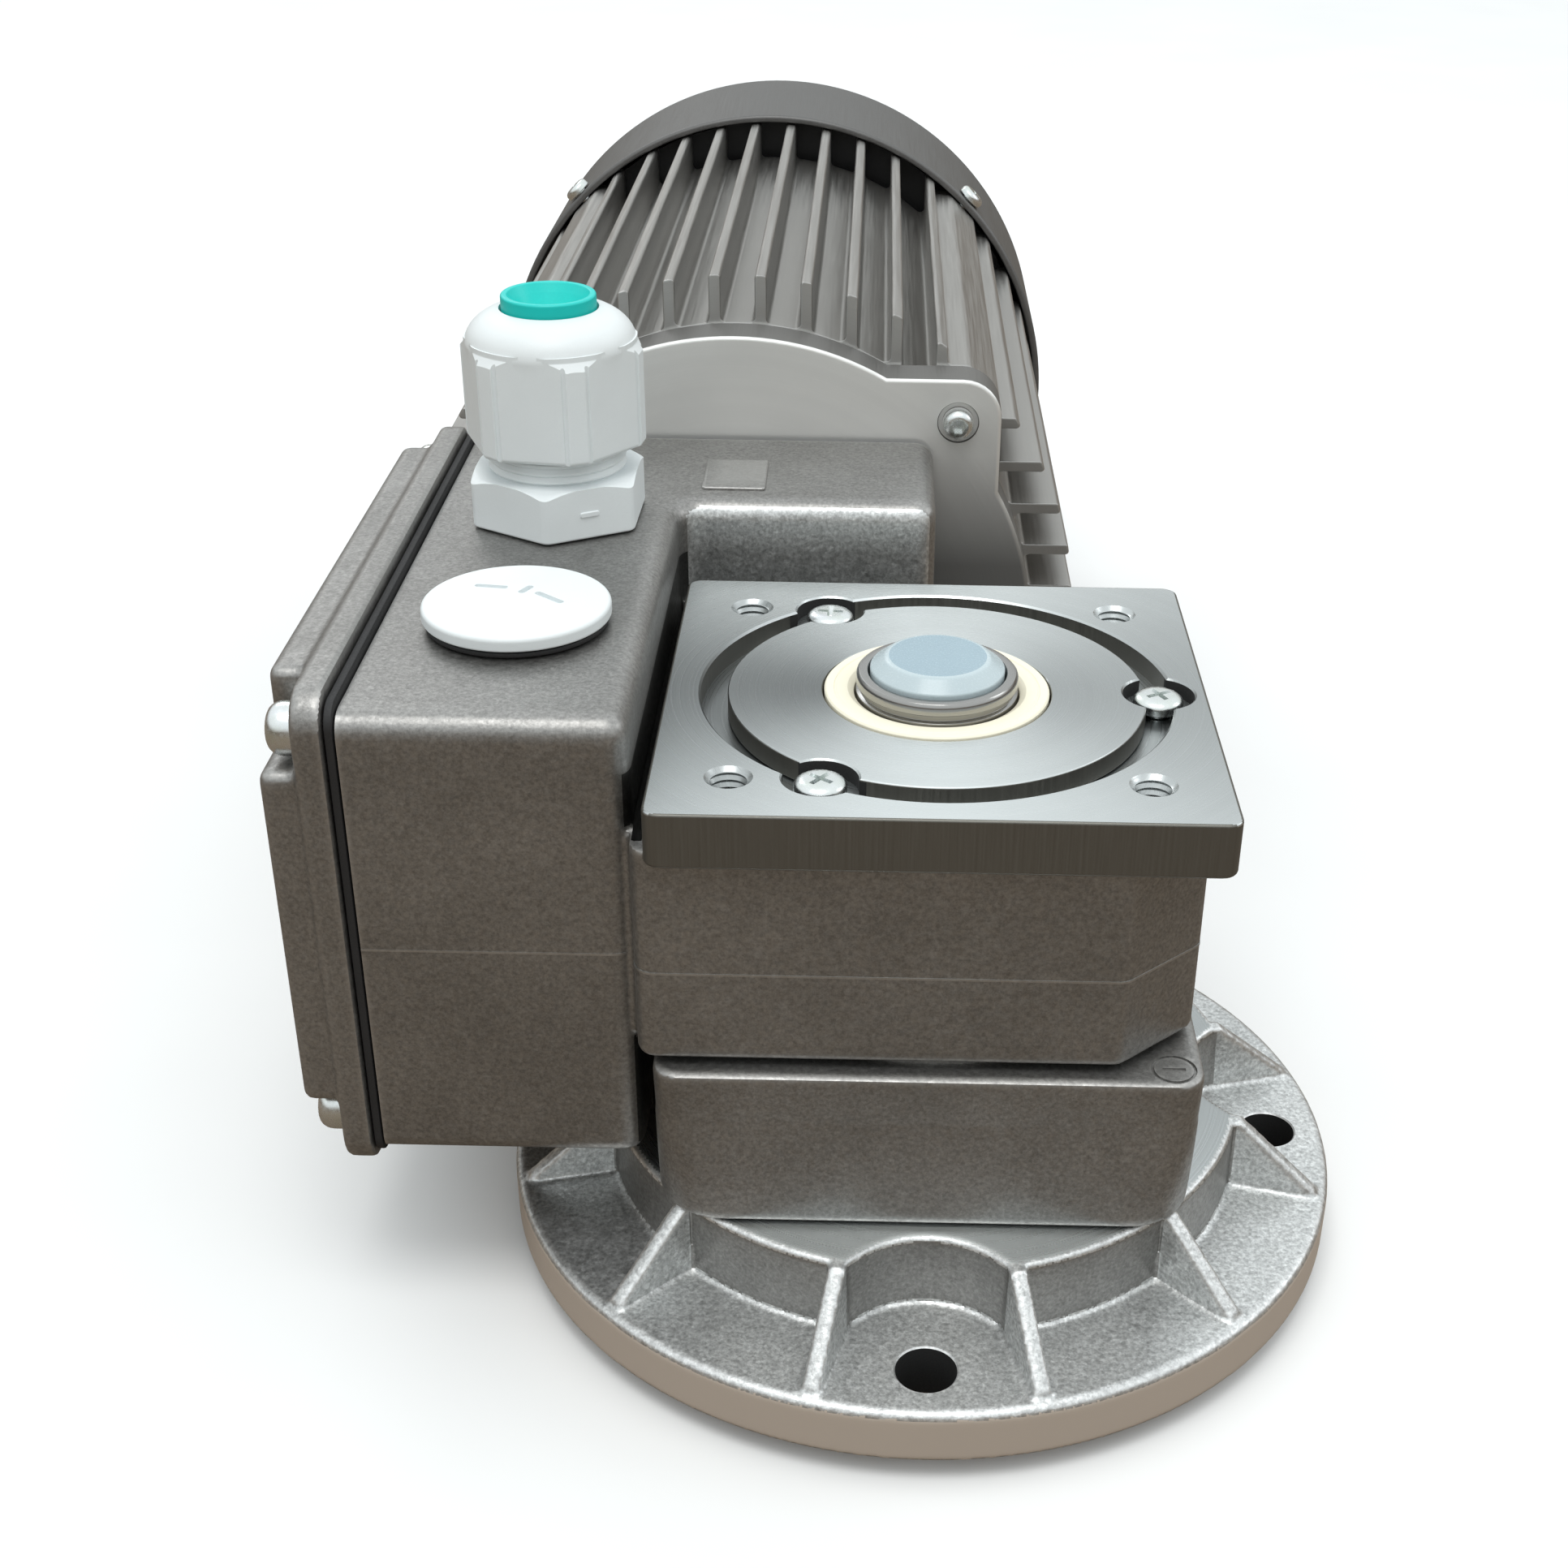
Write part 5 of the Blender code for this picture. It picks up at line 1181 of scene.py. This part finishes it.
def gland():
    """An M25 gland: hexagon body, threaded neck, dome nut, sealing insert, plug and locknut."""
    at = Matrix.Translation((GLAND.x, GLAND.y, 0.0))
    body_low, nut_low = 115.2, 129.3

    body = prism("gland_base", rounded(hexagon(BASE_ACROSS, BASE_TURN), 2.2, 5), body_low, 124.5, 0.5,
                 place=at)
    crown = [(0.0, 110.0), (17.0, 110.0), (17.0, 122.9), (16.6, 123.4), (14.9, 124.5), (0.0, 124.5)]
    keep_inside(body, turned("crown", crown, at, 96))
    on_flat = (at @ Matrix.Rotation(math.radians(BASE_TURN - 30.0), 4, "Z")
               @ Matrix.Translation((0.0, 0.0, 119.8)) @ Matrix.Rotation(math.pi / 2, 4, "Y")
               @ Matrix.Rotation(math.pi / 2, 4, "Z"))
    mark = rectangle((-1.8, -0.5), (1.8, 0.5), 0.3, 2)
    join(body, prism("bar", mark, 13.9, 14.95, 0.0, 0.2, place=on_flat))
    neck = [(0.0, 105.0)]
    z = 105.0
    while z < 139.0:
        neck += [(11.9, z + 0.1), (12.5, z + 0.6), (12.5, z + 0.9)]
        z += 1.5
    neck += [(11.9, 140.0), (0.0, 140.0)]
    join(body, turned("neck", neck, at, 96))
    cut(body, rod("bore", 10.3, 100.0, 145.0, place=at, sides=72))
    finish_piece(body, "housing", ["gland_body"], (WHITE,), 35.0)

    outline = rounded(hexagon(NUT_ACROSS, NUT_TURN, 3.6), 0.35, 2)
    nut = prism("gland_dome_nut", outline, nut_low, 148.5, 0.9, place=at)
    crown = rounded([(0.0, 120.0), (17.3, 120.0), (17.3, 144.9), (15.3, 147.6), (15.3, 149.0), (0.0, 149.0)],
                    (0.0, 0.0, 0.5, 0.4, 0.0, 0.0), 4)
    keep_inside(nut, turned("crown", crown, at, 120))
    corner_r = NUT_ACROSS / math.sqrt(3.0)
    for i in range(6):
        for side in (-1, 1):
            corner = Vector(around(corner_r, NUT_TURN + 60 * i))
            along = Vector(around(corner_r, NUT_TURN + 60 * (i + side))) - corner
            spot = corner + along.normalized() * 2.5
            cut(nut, rod("groove", 0.45, 120.0, 150.0, place=at, at=(spot.x * 1.006, spot.y * 1.006),
                         sides=16))
    foot, top, last_turn = 147.2, 153.4, math.radians(62.0)
    dome = [(0.0, 145.0), (14.9, 145.0), (15.2, foot)]
    for k in range(1, 11):
        turn = last_turn * k / 10
        dome.append((15.2 * math.cos(turn) ** 0.72,
                     foot + (top - foot) * math.sin(turn) / math.sin(last_turn)))
    dome += [(8.8, top), (0.0, top)]
    join(nut, turned("dome", dome, at, 120))
    cut(nut,
        rod("thread_bore", THREAD_HOLE_R, 120.0, 146.0, place=at, sides=72),
        rod("mouth", 8.8, 140.0, 160.0, place=at, sides=72))
    finish_piece(nut, "housing", ["gland_nut"], (WHITE,), 28.0)

    insert = turned("gland_insert", rounded([(6.6, 128.0), (9.9, 128.0), (9.9, 145.0), (6.6, 145.0)], 0.5, 3),
                    at, 64)
    finish_piece(insert, "housing", ["gland_seal"], (RUBBER,), 40.0)

    top = span("gland_dust_plug")[1].z
    profile = rounded([(0.0, 134.0), (6.2, 134.0), (6.2, 146.3), (8.4, 146.3), (8.4, top), (7.3, top),
                       (6.4, top - 1.6), (4.6, 150.6), (2.2, 150.2), (1.2, 151.2), (0.0, 151.4)],
                      (0.0, 1.5, 0.0, 0.5, 0.45, 0.35, 0.8, 1.0, 0.6, 0.4, 0.0), 4)
    dust = turned("dust_plug", profile, at, 80)
    finish_piece(dust, "housing", ["gland_dust_plug"], (TEAL,), 50.0)

    locknut = prism("gland_ring_nut", rounded(hexagon(28.0, 30.0), 0.6, 3), 107.2, 111.1, 0.5, 0.5, place=at)
    cut(locknut, rod("thread_bore", THREAD_HOLE_R, 100.0, 115.0, place=at, sides=72))
    finish_piece(locknut, "housing", ["gland_locknut"], (WHITE,), 35.0)


# ---------------------------------------------------------------- CAD nodes that stay, inside
def dress_inside():
    """Materials for the pieces that keep their CAD mesh."""
    finishes = {
        "bright_steel": STEEL_MOTOR, "bronze": BRONZE, "copper": COPPER, "lamination": LAMINATION,
        "seal_black": RUBBER, "plastic_black": BLACK, "cast_grey": CAST,
    }
    slots = {"worm_wheel": "bronze", "winding_front": "copper", "winding_rear": "copper",
             "stator_core": "lamination", "rotor_core": "lamination", "fan": "plastic_black",
             "terminal_block": "plastic_black", "input_shaft_seal": "seal_black",
             "shaft_seal_bottom": "seal_black", "rear_end_shield": "cast_grey"}
    for name, node in frame["nodes"].items():
        if node.hide_render:
            continue
        finish = finishes[slots.get(name, "bright_steel")]
        if name in ("output_bearing_upper", "output_bearing_lower", "wheel_key"):
            finish = STEEL
        node.data.materials.clear()
        node.data.materials.append(finish)


# ---------------------------------------------------------------- stage, light and camera
def stage():
    """A pale floor that turns up far away into a pale wall, as one sheet."""
    made = Finish("pale_floor")
    clouds = made.spread(made.noise(0.01, 2.0), 0.0, 1.0)
    made.colour(made.blend((0.90, 0.90, 0.895), (0.93, 0.93, 0.925), clouds))
    made.roughness(0.9)
    made.metallic(0.0)
    profile = [(0.0, 0.0), (0.4, 0.0), (1.2, 0.0), (4.6, 0.0)]
    for k in range(1, 9):
        turn = math.pi / 4 * k / 8
        profile.append((4.6 + 1.4 * math.sin(turn), 1.4 * (1 - math.cos(turn))))
    profile.append((6.4, 1.2))
    sides = 96
    points, faces = [(0.0, 0.0, 0.0)], []
    for radius, height in profile[1:]:
        points += [(*around(radius, 360.0 * i / sides), height) for i in range(sides)]
    for i in range(sides):
        j = (i + 1) % sides
        faces.append([0, 1 + i, 1 + j])
        for k in range(len(profile) - 2):
            a, b = 1 + k * sides, 1 + (k + 1) * sides
            faces.append([a + i, b + i, b + j, a + j])
    mesh = bpy.data.meshes.new("floor")
    mesh.from_pydata(points, [], faces)
    mesh.materials.append(made.material)
    mesh.shade_smooth()
    floor = bpy.data.objects.new("floor", mesh)
    bpy.context.scene.collection.objects.link(floor)
    floor.visible_glossy = False
    floor.visible_diffuse = False
    floor.visible_shadow = False
    bench = Finish("warm_bounce")
    bench.colour((0.19, 0.145, 0.105))
    bench.roughness(0.9)
    bench.metallic(0.0)
    card_mesh = mesh.copy()
    card_mesh.materials.clear()
    card_mesh.materials.append(bench.material)
    card = bpy.data.objects.new("bounce_card", card_mesh)
    bpy.context.scene.collection.objects.link(card)
    card.location.z = -0.0005
    card.visible_camera = False


def soft_light(name, place, aim, size, watts, tint):
    data = bpy.data.lights.new(name, "AREA")
    data.shape = "RECTANGLE"
    data.size, data.size_y = size
    data.energy = watts
    data.color = tint
    lamp = bpy.data.objects.new(name, data)
    bpy.context.scene.collection.objects.link(lamp)
    lamp.location = place
    lamp.rotation_euler = (Vector(aim) - Vector(place)).to_track_quat("-Z", "Y").to_euler()


def studio():
    """Soft light from above, a cool sky and a warm, darker ground."""
    world = bpy.data.worlds.new("studio")
    bpy.context.scene.world = world
    world.use_nodes = True
    nodes, links = world.node_tree.nodes, world.node_tree.links
    direction = nodes.new("ShaderNodeTexCoord").outputs["Generated"]
    split = nodes.new("ShaderNodeSeparateXYZ")
    links.new(direction, split.inputs["Vector"])
    height = nodes.new("ShaderNodeMapRange")
    height.inputs["From Min"].default_value = -1.0
    links.new(split.outputs["Z"], height.inputs["Value"])
    ramp = nodes.new("ShaderNodeValToRGB")
    links.new(height.outputs["Result"], ramp.inputs["Fac"])
    stops = ((0.0, (0.16, 0.12, 0.09)), (0.50, (0.24, 0.20, 0.165)), (0.58, (0.42, 0.39, 0.365)),
             (0.70, (0.98, 1.03, 1.04)), (1.0, (1.10, 1.15, 1.17)))
    elements = ramp.color_ramp.elements
    elements[0].position, elements[0].color = stops[0][0], (*stops[0][1], 1.0)
    elements[1].position, elements[1].color = stops[-1][0], (*stops[-1][1], 1.0)
    for position, tint in stops[1:-1]:
        element = elements.new(position)
        element.color = (*tint, 1.0)
    links.new(ramp.outputs["Color"], nodes["Background"].inputs["Color"])
    soft_light("key_light", (-0.1, -0.35, 1.25), (0.0, 0.05, 0.05), (0.6, 0.5), 4.5, (1.0, 0.995, 0.98))
    soft_light("side_light", (1.3, 0.3, 0.9), (0.0, 0.1, 0.05), (0.5, 0.5), 1.6, (0.96, 0.98, 1.0))
    soft_light("back_light", (-0.7, 1.4, 1.0), (0.0, 0.1, 0.05), (0.5, 0.4), 1.6, (0.98, 0.99, 1.0))


LENS = 47.99
LENS_SHIFT = (-0.0458, 0.0394)
EYE_AT = (-0.0112, -0.3153, 0.2549)    # metres
EYE_TURN = (-0.34, 29.88, 0.92)        # yaw, pitch and roll in degrees


def camera():
    """The camera stands above and in front, looks down at 30 degrees, and is shifted a little."""
    data = bpy.data.cameras.new("view")
    data.sensor_width = 36.0
    data.lens = LENS
    data.shift_x, data.shift_y = LENS_SHIFT
    yaw, pitch, roll = (math.radians(angle) for angle in EYE_TURN)
    ahead = Vector((math.sin(yaw) * math.cos(pitch), math.cos(yaw) * math.cos(pitch), -math.sin(pitch)))
    right = Vector((math.cos(yaw), -math.sin(yaw), 0.0))
    up = right.cross(ahead)
    across = right * math.cos(roll) + up * math.sin(roll)
    over = up * math.cos(roll) - right * math.sin(roll)
    eye = bpy.data.objects.new("view", data)
    bpy.context.scene.collection.objects.link(eye)
    eye.matrix_world = Matrix.Translation(EYE_AT) @ Matrix(
        (across, over, -ahead)).transposed().to_4x4()
    bpy.context.scene.camera = eye


upper_casting()
disc_cover()
lower_casting()
round_flange()
output_end()
end_shield()
finned_stator()
pressed_cowl()
all_screws()
lid()
gasket()
plug()
gland()
dress_inside()
stage()
studio()
camera()
bpy.context.scene.view_settings.view_transform = "Standard"
